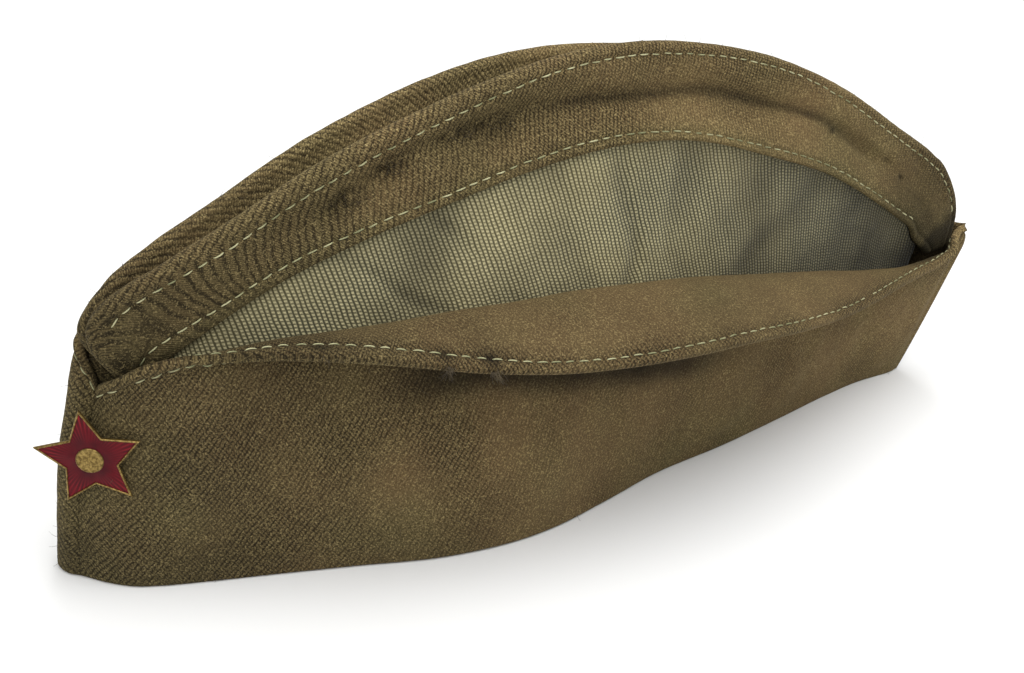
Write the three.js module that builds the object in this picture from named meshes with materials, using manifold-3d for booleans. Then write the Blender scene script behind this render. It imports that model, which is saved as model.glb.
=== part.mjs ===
// Garrison cap: a folding wool side cap with a turn-up flap on each side and a star badge at the front.
// Millimetres. The front seam is toward -X, the back toward +X, the wearer's left side toward -Y, up is +Z.
// The cap stands on its rim. Its near (left) flap is opened outward like a lapel, its far flap lies closed.
import * as THREE from 'three';
import Module from 'manifold-3d';

const wasm = await Module();
wasm.setup();

// Driving sizes
const RIM_LENGTH = 268;       // front seam to back seam, at the rim
const HALF_BREADTH = 30;      // centre plane to the widest place of the rim
const SEAM_HEIGHT = 96;       // rim to the highest place of the wool's lower edge
const CROWN_HEIGHT = 119.8;   // rim to the highest place of the near ridge
const FAR_RIDGE_DROP = 3.4;   // how much lower the far ridge lies where it has slumped most
const LAPEL_REACH = 44;       // centre plane to the lip of the opened flap
const NOTCH_HEIGHT = 51;      // rim to the foot of the notch between the flaps
const RIDGE_SPACING = 11;     // between the two ridges where they lie farthest apart
const PLEAT_DEPTH = 11;       // ridge to the bottom of the valley between the ridges
const CROWN_DENT = 2.2;       // how far the crown's wool sinks in between ridge and lower edge
const WALL_BULGE = 1.8;       // how far the lower wall bows outward half way up
const FLAP_COVER = 3;         // how far a closed flap reaches above the wool's lower edge
const LAP = 6;                // how far the cotton runs up behind the wool's lower edge
const LAPEL_ROLL = 9;         // length of cloth in the roll where the opened flap leaves the wall
const WOOL = 1.4;             // wool of the crown, one layer
const COTTON = 1.2;           // cotton twill of the lower wall
const FLAP = 2.2;             // flap: two layers of wool with turned edges
const FOLD_RADIUS = 2;        // outside radius of the fold along each ridge
const NOSE_FOLD_RADIUS = 1.56; // the same at the front, where the fold is pinched between the flaps
const NOSE_PINCH = 0.7;       // how far the crown's front end is pressed in from the face of the wall
const CLEARANCE = 0.3;        // between one piece of cloth and the next
const STAR_RADIUS = 12.6;     // centre of the star to a tip
const STAR_HEIGHT = 33.7;     // rim to the star's centre
const STAR_SHIFT = 1.6;       // star's centre to the front seam, toward the left
const STAR_TURN = 36.9;       // degrees that the star faces round from the left side toward the front
const STAR_LEAN = 13.5;       // degrees that its upper tip leans toward the front
const STAR_BASE = 1;          // brass plate of the star
const STAR_RIM = 0.42;        // width of the brass rim
const STAR_RIM_RISE = 0.8;    // height of the rim above the plate
const STAR_BEVEL = 0.25;      // slope at the outside of the plate
const ENAMEL = 0.55;          // thickness of the enamel
const BADGE_GAP = 0.08;       // between the hard pieces of the badge
const BOSS_RADIUS = 3.2;      // plain round boss in the middle of the star
const BOSS_RISE = 0.9;
const POST_RADIUS = 1.1;      // post on the star's back
const POST_HOLE = 1.5;        // hole for it through the front seam

// Grid of the cloth: steps along the cap, and up each piece
const STEPS = { crown: 38, cotton: 36, flap: 46 };
const RISES = { band: 6, fold: 6, valley: 2, cotton: 7, flapWall: 7, lapel: 6 };

// Share of the cap's length where the crown starts and ends inside the flaps, and where the cotton ends
const CROWN_SPAN = [0.045, 0.975];
const COTTON_SPAN = [0, 0.95];
// Share of the cap's length over which a flap can lie against the crown
const CROWN_BACKING = [0.075, 0.93];

const table = (names, rows) => rows.map((row) => Object.fromEntries(names.map((n, i) => [n, row[i]])));

// Inside of the flaps at the rim. "at" is the place along the cap, x a share of RIM_LENGTH,
// y a share of HALF_BREADTH. The nose is turned a little to the left, so the two sides differ there.
const RIM_NOSE_LEFT = table(['at', 'x', 'y'], [
  [0, 0.0045, -0.065],
  [0.01, 0.0119, 0.0],
  [0.02, 0.0198, 0.08],
  [0.035, 0.0351, 0.195],
  [0.06, 0.0593, 0.285],
]);
const RIM_NOSE_RIGHT = table(['at', 'x', 'y'], [
  [0, 0.0045, 0.065],
  [0.01, -0.0015, 0.115],
  [0.02, -0.0035, 0.18],
  [0.035, 0.0040, 0.250],
  [0.06, 0.0380, 0.315],
]);
const RIM_SIDE = table(['at', 'x', 'y'], [
  [0.09, 0.0903, 0.362],
  [0.15, 0.1515, 0.5],
  [0.22, 0.2228, 0.665],
  [0.30, 0.3037, 0.857],
  [0.37, 0.3731, 0.917],
  [0.43, 0.4272, 0.88],
  [0.50, 0.4981, 0.738],
  [0.58, 0.5772, 0.560],
  [0.68, 0.678, 0.430],
  [0.78, 0.7776, 0.262],
  [0.87, 0.8668, 0.100],
  [0.925, 0.923, 0.020],
  [0.96, 0.955, 0.008],
  [0.98, 0.978, 0.005],
  [1, 0.9965, 0.005],
]);

// Lower edge of the crown's wool, and inside of the flaps at that height. z is a share of SEAM_HEIGHT.
const SEAM_NOSE_LEFT = table(['at', 'x', 'y', 'z'], [
  [0, 0.0142, -0.065, 0.502],
  [0.01, 0.0205, 0.005, 0.515],
  [0.02, 0.0250, 0.095, 0.532],
  [0.035, 0.0360, 0.180, 0.560],
  [0.06, 0.0590, 0.240, 0.605],
]);
const SEAM_NOSE_RIGHT = table(['at', 'x', 'y', 'z'], [
  [0, 0.0142, 0.065, 0.502],
  [0.01, 0.0072, 0.115, 0.552],
  [0.02, 0.0065, 0.170, 0.590],
  [0.035, 0.0215, 0.215, 0.612],
  [0.06, 0.0590, 0.240, 0.630],
]);
const SEAM_SIDE = table(['at', 'x', 'y', 'z'], [
  [0.08, 0.0765, 0.255, 0.642],
  [0.10, 0.0993, 0.262, 0.680],
  [0.15, 0.1500, 0.305, 0.765],
  [0.22, 0.2200, 0.360, 0.849],
  [0.30, 0.3000, 0.376, 0.914],
  [0.37, 0.3700, 0.372, 0.962],
  [0.43, 0.4300, 0.360, 0.990],
  [0.50, 0.5000, 0.343, 1.002],
  [0.58, 0.5770, 0.332, 0.982],
  [0.68, 0.6780, 0.322, 0.902],
  [0.78, 0.7780, 0.290, 0.802],
  [0.87, 0.8700, 0.250, 0.666],
  [0.925, 0.9280, 0.222, 0.570],
  [0.96, 0.9700, 0.213, 0.510],
  [0.98, 1.0150, 0.175, 0.485],
  [0.99, 1.0350, 0.105, 0.482],
  [1, 1.0570, 0.005, 0.478],
]);
// Inside the flaps' tail the crown's lower edge runs down behind them: along is the place on the wall's face,
// share the share of the wall's height
const FOOT = table(['at', 'along', 'share'], [
  [0, 0, 1],
  [0.90, 0.90, 1],
  [0.925, 0.924, 0.995],
  [0.945, 0.938, 0.955],
  [0.96, 0.947, 0.88],
  [0.975, 0.953, 0.78],
]);

// Edges of the cotton as shares of the wall's height, with lap a share of LAP. At the nose it stays below
// the crown's front end, and at the tail it stays above the place where the flaps are sewn together.
const COTTON_EDGES = table(['at', 'low', 'high', 'lap'], [
  [0, 0, 0.78, 0],
  [0.07, 0, 0.78, 0],
  [0.10, 0, 1, 1],
  [0.115, 0, 1, 1],
  [0.13, 0, 1, 1],
  [0.78, 0, 1, 1],
  [0.80, 0, 1, 1],
  [0.87, 0.12, 1, 1],
  [0.90, 0.30, 1, 0.5],
  [0.925, 0.45, 1, 0.1],
  [0.938, 0.52, 0.965, 0],
  [0.95, 0.56, 0.87, 0],
]);

// The ridge: x along RIM_LENGTH, z a share of CROWN_HEIGHT, spread a share of half of RIDGE_SPACING,
// deep a share of PLEAT_DEPTH, dent a share of CROWN_DENT, drop a share of FAR_RIDGE_DROP
const RIDGE = table(['at', 'x', 'z', 'spread', 'deep', 'dent', 'drop'], [
  [0.045, 0.0500, 0.376, 0.32, 0.50, 0.0, 0.0],
  [0.055, 0.0340, 0.417, 0.32, 0.50, 0.0, 0.0],
  [0.065, 0.0160, 0.459, 0.32, 0.50, 0.0, 0.0],
  [0.075, 0.0020, 0.501, 0.33, 0.52, 0.0, 0.0],
  [0.085, -0.0040, 0.543, 0.38, 0.55, 0.0, 0.0],
  [0.095, 0.0007, 0.583, 0.46, 0.60, 0.0, 0.0],
  [0.105, 0.0127, 0.613, 0.58, 0.66, 0.1, 0.0],
  [0.13, 0.0540, 0.668, 0.76, 0.82, 0.3, 0.0],
  [0.16, 0.1060, 0.7305, 0.84, 0.92, 0.6, 0.0],
  [0.22, 0.1790, 0.822, 0.93, 0.98, 0.9, 0.0],
  [0.30, 0.2760, 0.911, 1.00, 1.00, 1.0, 0.0],
  [0.37, 0.3580, 0.965, 0.95, 1.00, 0.9, 0.15],
  [0.43, 0.4220, 0.992, 0.84, 1.00, 0.8, 0.50],
  [0.50, 0.4960, 1.000, 0.71, 1.00, 0.8, 0.92],
  [0.58, 0.5790, 0.9815, 0.60, 1.00, 0.9, 1.00],
  [0.68, 0.6850, 0.926, 0.56, 0.98, 0.8, 1.00],
  [0.78, 0.7900, 0.8305, 0.54, 0.92, 0.6, 1.00],
  [0.87, 0.8870, 0.711, 0.50, 0.82, 0.3, 0.90],
  [0.92, 0.9490, 0.632, 0.46, 0.72, 0.1, 0.60],
  [0.945, 0.9800, 0.5785, 0.43, 0.66, 0.0, 0.40],
  [0.955, 0.9980, 0.530, 0.42, 0.64, 0.0, 0.30],
  [0.962, 1.0093, 0.488, 0.42, 0.62, 0.0, 0.20],
  [0.968, 1.0160, 0.442, 0.42, 0.60, 0.0, 0.10],
  [0.975, 1.0165, 0.360, 0.42, 0.56, 0.0, 0.0],
]);

// The opened flap. leave is the share of the wall's height where it leaves the wall, roll a share of
// LAPEL_ROLL. Its lip: x along RIM_LENGTH, y a share of LAPEL_REACH, z a share of NOTCH_HEIGHT.
const LAPEL = table(['at', 'leave', 'roll', 'x', 'y', 'z'], [
  [0, 0.95, 0.10, 0.0135, -0.0389, 0.985],
  [0.02, 0.95, 0.10, 0.0210, 0.086, 1.072],
  [0.035, 0.95, 0.10, 0.0340, 0.148, 1.139],
  [0.05, 0.95, 0.12, 0.0490, 0.192, 1.175],
  [0.07, 0.93, 0.20, 0.0680, 0.228, 1.195],
  [0.10, 0.86, 0.45, 0.1005, 0.330, 1.210],
  [0.15, 0.77, 0.75, 0.1490, 0.525, 1.245],
  [0.22, 0.71, 0.90, 0.2200, 0.715, 1.225],
  [0.30, 0.68, 1.00, 0.2985, 0.850, 1.155],
  [0.37, 0.65, 1.00, 0.3700, 0.930, 1.110],
  [0.43, 0.63, 1.00, 0.4300, 0.975, 1.095],
  [0.50, 0.60, 1.00, 0.5000, 1.000, 1.090],
  [0.58, 0.58, 1.00, 0.5780, 0.975, 1.075],
  [0.68, 0.58, 0.95, 0.6790, 0.860, 1.000],
  [0.78, 0.59, 0.85, 0.7790, 0.680, 0.930],
  [0.87, 0.63, 0.65, 0.8730, 0.475, 0.905],
  [0.92, 0.70, 0.45, 0.9290, 0.350, 0.895],
  [0.95, 0.80, 0.25, 0.9690, 0.273, 0.892],
  [0.965, 0.86, 0.15, 0.9870, 0.227, 0.892],
  [0.98, 0.90, 0.10, 1.0157, 0.134, 0.878],
  [0.99, 0.93, 0.10, 1.0370, 0.060, 0.890],
  [1, 0.95, 0.10, 1.0573, 0.004, 0.955],
]);

// A smooth curve through one column of a table
function track(rows, name) {
  const at = rows.map((row) => row.at);
  const value = rows.map((row) => row[name]);
  const last = rows.length - 1;
  const rate = (i, j) => (value[j] - value[i]) / (at[j] - at[i]);
  const slope = value.map((_, i) => {
    if (i === 0) return rate(0, 1);
    if (i === last) return rate(last - 1, last);
    const before = at[i] - at[i - 1];
    const after = at[i + 1] - at[i];
    return (rate(i - 1, i) * after + rate(i, i + 1) * before) / (before + after);
  });
  return (s) => {
    let i = 0;
    while (i < last - 1 && s > at[i + 1]) i += 1;
    const span = at[i + 1] - at[i];
    const t = THREE.MathUtils.clamp((s - at[i]) / span, 0, 1);
    const a = (1 + 2 * t) * (1 - t) ** 2;
    const b = t * (1 - t) ** 2;
    const c = t * t * (3 - 2 * t);
    const d = t * t * (t - 1);
    return a * value[i] + b * span * slope[i] + c * value[i + 1] + d * span * slope[i + 1];
  };
}

const tracksOf = (rows) => Object.fromEntries(Object.keys(rows[0]).map((name) => [name, track(rows, name)]));
const LEFT = 'left';
const RIGHT = 'right';
const rims = { left: tracksOf([...RIM_NOSE_LEFT, ...RIM_SIDE]), right: tracksOf([...RIM_NOSE_RIGHT, ...RIM_SIDE]) };
const seams = {
  left: tracksOf([...SEAM_NOSE_LEFT, ...SEAM_SIDE]),
  right: tracksOf([...SEAM_NOSE_RIGHT, ...SEAM_SIDE]),
};
const foot = tracksOf(FOOT);
const ridge = tracksOf(RIDGE);
const lapel = tracksOf(LAPEL);
const cottonEdges = tracksOf(COTTON_EDGES);
const outward = { left: -1, right: 1 };
const smooth = THREE.MathUtils.smoothstep;
const lerp = THREE.MathUtils.lerp;
const vec = (x, y, z) => new THREE.Vector3(x, y, z);

const rimPoint = (side, s) => {
  const rim = rims[side];
  return vec(rim.x(s) * RIM_LENGTH, outward[side] * rim.y(s) * HALF_BREADTH, 0);
};
const seamPoint = (side, s) => {
  const seam = seams[side];
  return vec(seam.x(s) * RIM_LENGTH, outward[side] * seam.y(s) * HALF_BREADTH, seam.z(s) * SEAM_HEIGHT);
};

// Frame of the fold along the ridge: its outermost point, the way in from it, and its centre
function ridgeFrame(side, s) {
  const at = (p) => vec(ridge.x(p) * RIM_LENGTH, 0, ridge.z(p) * CROWN_HEIGHT);
  const step = 0.002;
  const along = at(Math.min(s + step, CROWN_SPAN[1])).sub(at(Math.max(s - step, CROWN_SPAN[0]))).normalize();
  const inward = vec(along.z, 0, -along.x);
  const half = (ridge.spread(s) * RIDGE_SPACING) / 2;
  const drop = side === RIGHT ? FAR_RIDGE_DROP * ridge.drop(s) : 0;
  const top = at(s).add(vec(0, outward[side] * half, -drop));
  const radius = lerp(NOSE_FOLD_RADIUS, FOLD_RADIUS, smooth(s, 0.07, 0.11));
  const centre = top.clone().addScaledVector(inward, radius);
  return { top, inward, centre, radius };
}

// Face of the lower wall, where the flaps meet it. h is 0 at the rim and 1 at the wool's lower edge.
function lowerPoint(side, s, h) {
  const point = rimPoint(side, s).lerp(seamPoint(side, s), h);
  const bulge = WALL_BULGE * Math.sin(Math.PI * h);
  const nose = Math.exp(-((s / 0.04) ** 2));
  const tail = Math.exp(-(((1 - s) / 0.05) ** 2));
  point.x += bulge * (0.15 * tail - nose);
  point.y += outward[side] * bulge * (1 - nose - tail) * smooth(s, 0, 0.1) * smooth(1 - s, 0, 0.1);
  return point;
}

// Lower edge of the crown's wool, on the wall's face
function footPoint(side, s) {
  const point = lowerPoint(LEFT, foot.along(s), Math.min(foot.share(s), 1));
  point.y = outward[side] * (Math.abs(point.y) - NOSE_PINCH * (1 - smooth(s, 0.055, 0.085)));
  return point;
}

// Outside of the crown. t runs 0..1 over the band, 1..2 round the fold, 2..3 down into the valley.
function crownPoint(side, s, t) {
  const { top, inward, centre, radius } = ridgeFrame(side, s);
  const away = outward[side];
  if (t <= 1) {
    const head = centre.clone().add(vec(0, away * radius, 0));
    const point = footPoint(side, s).lerp(head, t);
    point.y -= away * CROWN_DENT * ridge.dent(s) * Math.sin(Math.PI * t) ** 2;
    return point;
  }
  if (t <= 2) {
    const angle = Math.PI * (t - 1);
    return centre.clone()
      .add(vec(0, away * radius * Math.cos(angle), 0))
      .addScaledVector(inward, -radius * Math.sin(angle));
  }
  const head = centre.clone().add(vec(0, -away * radius, 0));
  const bottom = top.clone().addScaledVector(inward, PLEAT_DEPTH * ridge.deep(s));
  bottom.y = (away * CLEARANCE) / 2;
  return head.lerp(bottom, t - 2);
}

// The same face carried on upward: above 1, h follows the crown where a flap can lie against it
function wallPoint(side, s, h) {
  if (h > 1 && s > CROWN_BACKING[0] && s < CROWN_BACKING[1]) {
    const rise = (h - 1) * SEAM_HEIGHT;
    const band = crownPoint(side, s, 0).distanceTo(crownPoint(side, s, 1));
    return crownPoint(side, s, Math.min(rise / band, 1));
  }
  const point = lowerPoint(side, s, Math.min(h, 1));
  if (h > 1) point.z += (h - 1) * SEAM_HEIGHT;
  return point;
}

// The way that the cloth faces at the front seam, and the way along it toward the left
const TURN = THREE.MathUtils.degToRad(STAR_TURN);
const NOSE_FACING = vec(-Math.sin(TURN), -Math.cos(TURN), 0);
const NOSE_ACROSS = vec(Math.cos(TURN), -Math.sin(TURN), 0);

// Leaves the clearance between the two halves along the front seam
const partAtSeam = (side, s, point) => point.addScaledVector(
  NOSE_ACROSS,
  (side === LEFT ? 0.5 : -0.5) * CLEARANCE * (1 - smooth(s, 0, 0.01)),
);

// Outward normal of a face that is given as a function of place s and height h
function normalOf(face, side, s, h, span) {
  const ds = 0.002;
  const dh = 0.01;
  const along = face(side, Math.min(s + ds, span[1]), h).sub(face(side, Math.max(s - ds, span[0]), h));
  const up = face(side, s, h + dh).sub(face(side, s, h - dh));
  const normal = along.cross(up).multiplyScalar(-outward[side]).normalize();
  return span[0] > 0 ? normal : normal.lerp(NOSE_FACING, 1 - smooth(s, 0, 0.01)).normalize();
}

// Cotton lies against the flap at the rim, and one layer of wool deeper from the wool's lower edge up
const cottonInset = (h) => (WOOL + CLEARANCE) * smooth(h, 0.3, 0.92);

// Inside of the opened flap: up the wall to where it leaves, then round the roll and out to the lip
function lapelPoint(s, v) {
  const leave = lapel.leave(s);
  const onWall = (h) => {
    const point = wallPoint(LEFT, s, h);
    const normal = normalOf(wallPoint, LEFT, s, h, [0, 1]);
    const closer = cottonInset(h) * smooth(s, 0.08, 0.15) * smooth(1 - s, 0.06, 0.14);
    return point.addScaledVector(normal, CLEARANCE - closer);
  };
  if (v <= 1) return onWall(leave * v);
  const start = onWall(leave);
  const rising = start.clone().sub(onWall(leave - 0.05)).normalize();
  const lip = vec(lapel.x(s) * RIM_LENGTH, -lapel.y(s) * LAPEL_REACH, lapel.z(s) * NOTCH_HEIGHT);
  const span = lip.distanceTo(start);
  const firstHandle = start.clone().addScaledVector(rising, LAPEL_ROLL * lapel.roll(s));
  const out = lip.clone().sub(firstHandle).normalize();
  const secondHandle = lip.clone().addScaledVector(out, -span * 0.42).add(vec(0, 0, span * 0.12 * lapel.roll(s)));
  const t = v - 1;
  const k = 1 - t;
  return start.multiplyScalar(k ** 3)
    .addScaledVector(firstHandle, 3 * k * k * t)
    .addScaledVector(secondHandle, 3 * k * t * t)
    .addScaledVector(lip, t ** 3);
}

// Inside of the closed flap: v runs 0..1 up to the wool's lower edge, and on to 2 at the flap's own edge
function closedPoint(s, v) {
  const h = v <= 1 ? v : 1 + ((v - 1) * FLAP_COVER) / SEAM_HEIGHT;
  const point = wallPoint(RIGHT, s, h);
  return point.addScaledVector(normalOf(wallPoint, RIGHT, s, h, [0, 1]), CLEARANCE);
}

// A closed shell of cloth from two faces sampled on one grid
function shell(columns, rows, outerPoint, innerPoint) {
  const positions = [];
  const outer = [];
  const inner = [];
  for (let i = 0; i <= columns; i += 1) {
    for (let j = 0; j <= rows; j += 1) {
      outer.push(outerPoint(i, j));
      inner.push(innerPoint(i, j));
    }
  }
  const id = (i, j) => i * (rows + 1) + j;
  const face = (...points) => points.forEach((p) => positions.push(p.x, p.y, p.z));
  const quad = (a, b, c, d) => {
    face(a, b, c);
    face(a, c, d);
  };
  for (let i = 0; i < columns; i += 1) {
    for (let j = 0; j < rows; j += 1) {
      const [a, b, c, d] = [id(i, j), id(i + 1, j), id(i + 1, j + 1), id(i, j + 1)];
      quad(outer[a], outer[b], outer[c], outer[d]);
      quad(inner[d], inner[c], inner[b], inner[a]);
    }
  }
  for (let i = 0; i < columns; i += 1) {
    const [a, b] = [id(i, 0), id(i + 1, 0)];
    const [c, d] = [id(i, rows), id(i + 1, rows)];
    quad(inner[a], inner[b], outer[b], outer[a]);
    quad(outer[c], outer[d], inner[d], inner[c]);
  }
  for (let j = 0; j < rows; j += 1) {
    const [a, b] = [id(0, j), id(0, j + 1)];
    const [c, d] = [id(columns, j), id(columns, j + 1)];
    quad(outer[a], outer[b], inner[b], inner[a]);
    quad(inner[c], inner[d], outer[d], outer[c]);
  }
  return positions;
}

function geometryOf(positions, flipped) {
  if (flipped) {
    for (let i = 0; i < positions.length; i += 9) {
      for (let k = 0; k < 3; k += 1) {
        [positions[i + 3 + k], positions[i + 6 + k]] = [positions[i + 6 + k], positions[i + 3 + k]];
      }
    }
  }
  const geometry = new THREE.BufferGeometry();
  geometry.setAttribute('position', new THREE.Float32BufferAttribute(positions, 3));
  geometry.computeVertexNormals();
  return geometry;
}

// Places along the cap, closer together at the nose and tail, where the cloth bends most
const placesOf = (count, [from, to]) => Array.from({ length: count + 1 }, (_, i) => {
  const u = i / count;
  return lerp(from, to, u - (0.72 * Math.sin(2 * Math.PI * u)) / (2 * Math.PI));
});
const evenly = (from, to, count) => Array.from({ length: count }, (_, i) => lerp(from, to, (i + 1) / count));

// Keeps a point on its own side of the centre plane, where the two halves are sewn together at the back
function keepToSide(side, point) {
  point.y = outward[side] * Math.max(outward[side] * point.y, CLEARANCE / 2);
  return point;
}

// Pieces of cloth
function crown(side) {
  const places = placesOf(STEPS.crown, CROWN_SPAN);
  const heights = [0, ...evenly(0, 1, RISES.band), ...evenly(1, 2, RISES.fold), ...evenly(2, 3, RISES.valley)];
  const outer = (i, j) => crownPoint(side, places[i], heights[j]);
  const inner = (i, j) => {
    const t = THREE.MathUtils.clamp(heights[j], 0.011, 2.989);
    return outer(i, j).addScaledVector(normalOf(crownPoint, side, places[i], t, CROWN_SPAN), -WOOL);
  };
  return geometryOf(shell(STEPS.crown, heights.length - 1, outer, inner), side === RIGHT);
}

function lowerWall(side) {
  const places = placesOf(STEPS.cotton, COTTON_SPAN);
  const heightAt = (s, j) => {
    const high = cottonEdges.high(s) + (cottonEdges.lap(s) * LAP) / SEAM_HEIGHT;
    return lerp(Math.max(cottonEdges.low(s), 0), high, j / RISES.cotton);
  };
  const at = (i, j, deeper) => {
    const s = places[i];
    const h = heightAt(s, j);
    const normal = normalOf(wallPoint, side, s, h, [0, 1]);
    const point = wallPoint(side, s, h).addScaledVector(normal, -cottonInset(h) - deeper);
    if (h === 0) point.z = CLEARANCE;
    return partAtSeam(side, s, point);
  };
  return geometryOf(
    shell(STEPS.cotton, RISES.cotton, (i, j) => at(i, j, 0), (i, j) => at(i, j, COTTON)),
    side === RIGHT,
  );
}

function flap(side) {
  const inside = side === LEFT ? (_, s, v) => lapelPoint(s, v) : (_, s, v) => closedPoint(s, v);
  const heights = [0, ...evenly(0, 1, RISES.flapWall), ...evenly(1, 2, side === LEFT ? RISES.lapel : 1)];
  const top = heights[heights.length - 1];
  const places = placesOf(STEPS.flap, [0, 1]);
  const at = (i, j, thickness) => {
    const s = places[i];
    const point = inside(side, s, heights[j]);
    const v = THREE.MathUtils.clamp(heights[j], 0.011, top - 0.011);
    const pressed = lerp(1, 0.4, smooth(s, 0.96, 1));
    const normal = normalOf(inside, side, s, v, [0, 1]);
    point.addScaledVector(normal, thickness * pressed);
    if (j === 0) point.z = 0;
    return s > 0.5 ? keepToSide(side, point) : partAtSeam(side, s, point);
  };
  return shell(STEPS.flap, heights.length - 1, (i, j) => at(i, j, FLAP), (i, j) => at(i, j, 0));
}

// Solids that are cut by one another
function solidOf(geometry) {
  const merged = new Map();
  const vertices = [];
  const position = geometry.getAttribute('position');
  const index = geometry.getIndex();
  const count = index ? index.count : position.count;
  const triangles = [];
  for (let i = 0; i < count; i += 1) {
    const k = index ? index.getX(i) : i;
    const xyz = [position.getX(k), position.getY(k), position.getZ(k)];
    const key = xyz.map((value) => Math.round(value * 1e4)).join(',');
    if (!merged.has(key)) {
      merged.set(key, vertices.length / 3);
      vertices.push(...xyz);
    }
    triangles.push(merged.get(key));
  }
  const kept = [];
  for (let i = 0; i < triangles.length; i += 3) {
    const [a, b, c] = triangles.slice(i, i + 3);
    if (a !== b && b !== c && c !== a) kept.push(a, b, c);
  }
  return new wasm.Manifold(new wasm.Mesh({
    numProp: 3,
    vertProperties: new Float32Array(vertices),
    triVerts: new Uint32Array(kept),
  }));
}

function geometryFrom(solid) {
  const mesh = solid.getMesh();
  const geometry = new THREE.BufferGeometry();
  geometry.setAttribute('position', new THREE.Float32BufferAttribute(mesh.vertProperties, 3));
  geometry.setIndex(Array.from(mesh.triVerts));
  geometry.computeVertexNormals();
  return geometry;
}

// The badge: its own group, with the star's face toward +Z and its upper tip toward +Y
function starOutline(radius) {
  const shape = new THREE.Shape();
  const inner = radius * Math.sin(Math.PI / 10) / Math.sin((3 * Math.PI) / 10);
  for (let i = 0; i < 10; i += 1) {
    const angle = Math.PI / 2 + (i * Math.PI) / 5;
    const reach = i % 2 ? inner : radius;
    shape[i ? 'lineTo' : 'moveTo'](reach * Math.cos(angle), reach * Math.sin(angle));
  }
  shape.closePath();
  return shape;
}

// Moving a star's sides in by a distance shortens its tips by this many times the distance
const TIP_FACTOR = 1 / Math.sin(Math.PI / 10);
const shrunk = (distance) => STAR_RADIUS - distance * TIP_FACTOR;
const extrude = (shape, depth, extra = {}) => new THREE.ExtrudeGeometry(shape, { depth, bevelEnabled: false, ...extra });

// A star plate whose sides slope in toward the front: a loft between two outlines
function starPlate(radiusBack, radiusFront, back, front) {
  const ring = (radius, z) => starOutline(radius).getPoints(1).slice(0, 10).map((p) => vec(p.x, p.y, z));
  const [low, high] = [ring(radiusBack, back), ring(radiusFront, front)];
  const positions = [];
  const face = (...points) => points.forEach((p) => positions.push(p.x, p.y, p.z));
  const [floor, roof] = [vec(0, 0, back), vec(0, 0, front)];
  for (let i = 0; i < 10; i += 1) {
    const j = (i + 1) % 10;
    face(low[i], low[j], high[j]);
    face(low[i], high[j], high[i]);
    face(floor, low[j], low[i]);
    face(roof, high[i], high[j]);
  }
  return geometryOf(positions, false);
}

function badge(seat, postLength) {
  const front = STAR_BASE + STAR_RIM_RISE;
  const plate = solidOf(starPlate(STAR_RADIUS, shrunk(STAR_BEVEL), 0, front));
  const tray = extrude(starOutline(shrunk(STAR_BEVEL + STAR_RIM)), front);
  tray.translate(0, 0, STAR_BASE);
  const body = geometryFrom(plate.subtract(solidOf(tray)));

  const enamelFloor = STAR_BASE + BADGE_GAP;
  const enamelRadius = shrunk(STAR_BEVEL + STAR_RIM + BADGE_GAP);
  const enamel = starPlate(enamelRadius, enamelRadius, enamelFloor, enamelFloor + ENAMEL);

  const bossFloor = enamelFloor + ENAMEL + BADGE_GAP;
  const boss = new THREE.LatheGeometry([
    new THREE.Vector2(0, bossFloor),
    new THREE.Vector2(BOSS_RADIUS, bossFloor),
    new THREE.Vector2(BOSS_RADIUS, bossFloor + BOSS_RISE * 0.4),
    new THREE.Vector2(BOSS_RADIUS * 0.8, bossFloor + BOSS_RISE * 0.7),
    new THREE.Vector2(BOSS_RADIUS * 0.4, bossFloor + BOSS_RISE),
    new THREE.Vector2(0, bossFloor + BOSS_RISE),
  ], 20);
  boss.rotateX(Math.PI / 2);

  const post = new THREE.CylinderGeometry(POST_RADIUS, POST_RADIUS, postLength, 16);
  post.rotateX(Math.PI / 2);
  post.translate(0, 0, -BADGE_GAP - postLength / 2);

  const brass = { color: 0x8f7a45, roughness: 0.35, metalness: 1 };
  const group = new THREE.Group();
  group.position.copy(seat);
  group.rotation.order = 'ZYX';
  group.rotation.set(Math.PI / 2, 0, -TURN);
  const turned = new THREE.Group();
  turned.rotation.z = THREE.MathUtils.degToRad(STAR_LEAN);
  turned.add(
    meshOf('star_body', body, brass),
    meshOf('star_enamel', enamel, { color: 0x7d0f1c, roughness: 0.12, metalness: 0 }),
    meshOf('star_boss', boss, brass),
    meshOf('star_post', post, brass),
  );
  group.add(turned);
  return group;
}

function meshOf(name, geometry, finish) {
  const mesh = new THREE.Mesh(geometry, new THREE.MeshStandardMaterial(finish));
  mesh.name = name;
  return mesh;
}

// Where the star's back lies: a flat plate held against the nose of the flaps
function starSeat(flapPositions) {
  const seam = wallPoint(LEFT, 0, STAR_HEIGHT / (seams.left.z(0) * SEAM_HEIGHT));
  const centre = seam.clone().addScaledVector(NOSE_FACING, FLAP).addScaledVector(NOSE_ACROSS, STAR_SHIFT);
  centre.z = STAR_HEIGHT;
  let farthest = 0;
  flapPositions.forEach((positions) => {
    for (let i = 0; i < positions.length; i += 3) {
      const away = vec(positions[i], positions[i + 1], positions[i + 2]).sub(centre);
      const near = Math.abs(away.dot(NOSE_ACROSS)) < STAR_RADIUS && Math.abs(away.z) < STAR_RADIUS;
      if (near) farthest = Math.max(farthest, away.dot(NOSE_FACING));
    }
  });
  return { seat: centre.addScaledVector(NOSE_FACING, farthest + CLEARANCE), depth: farthest + CLEARANCE + FLAP };
}

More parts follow.
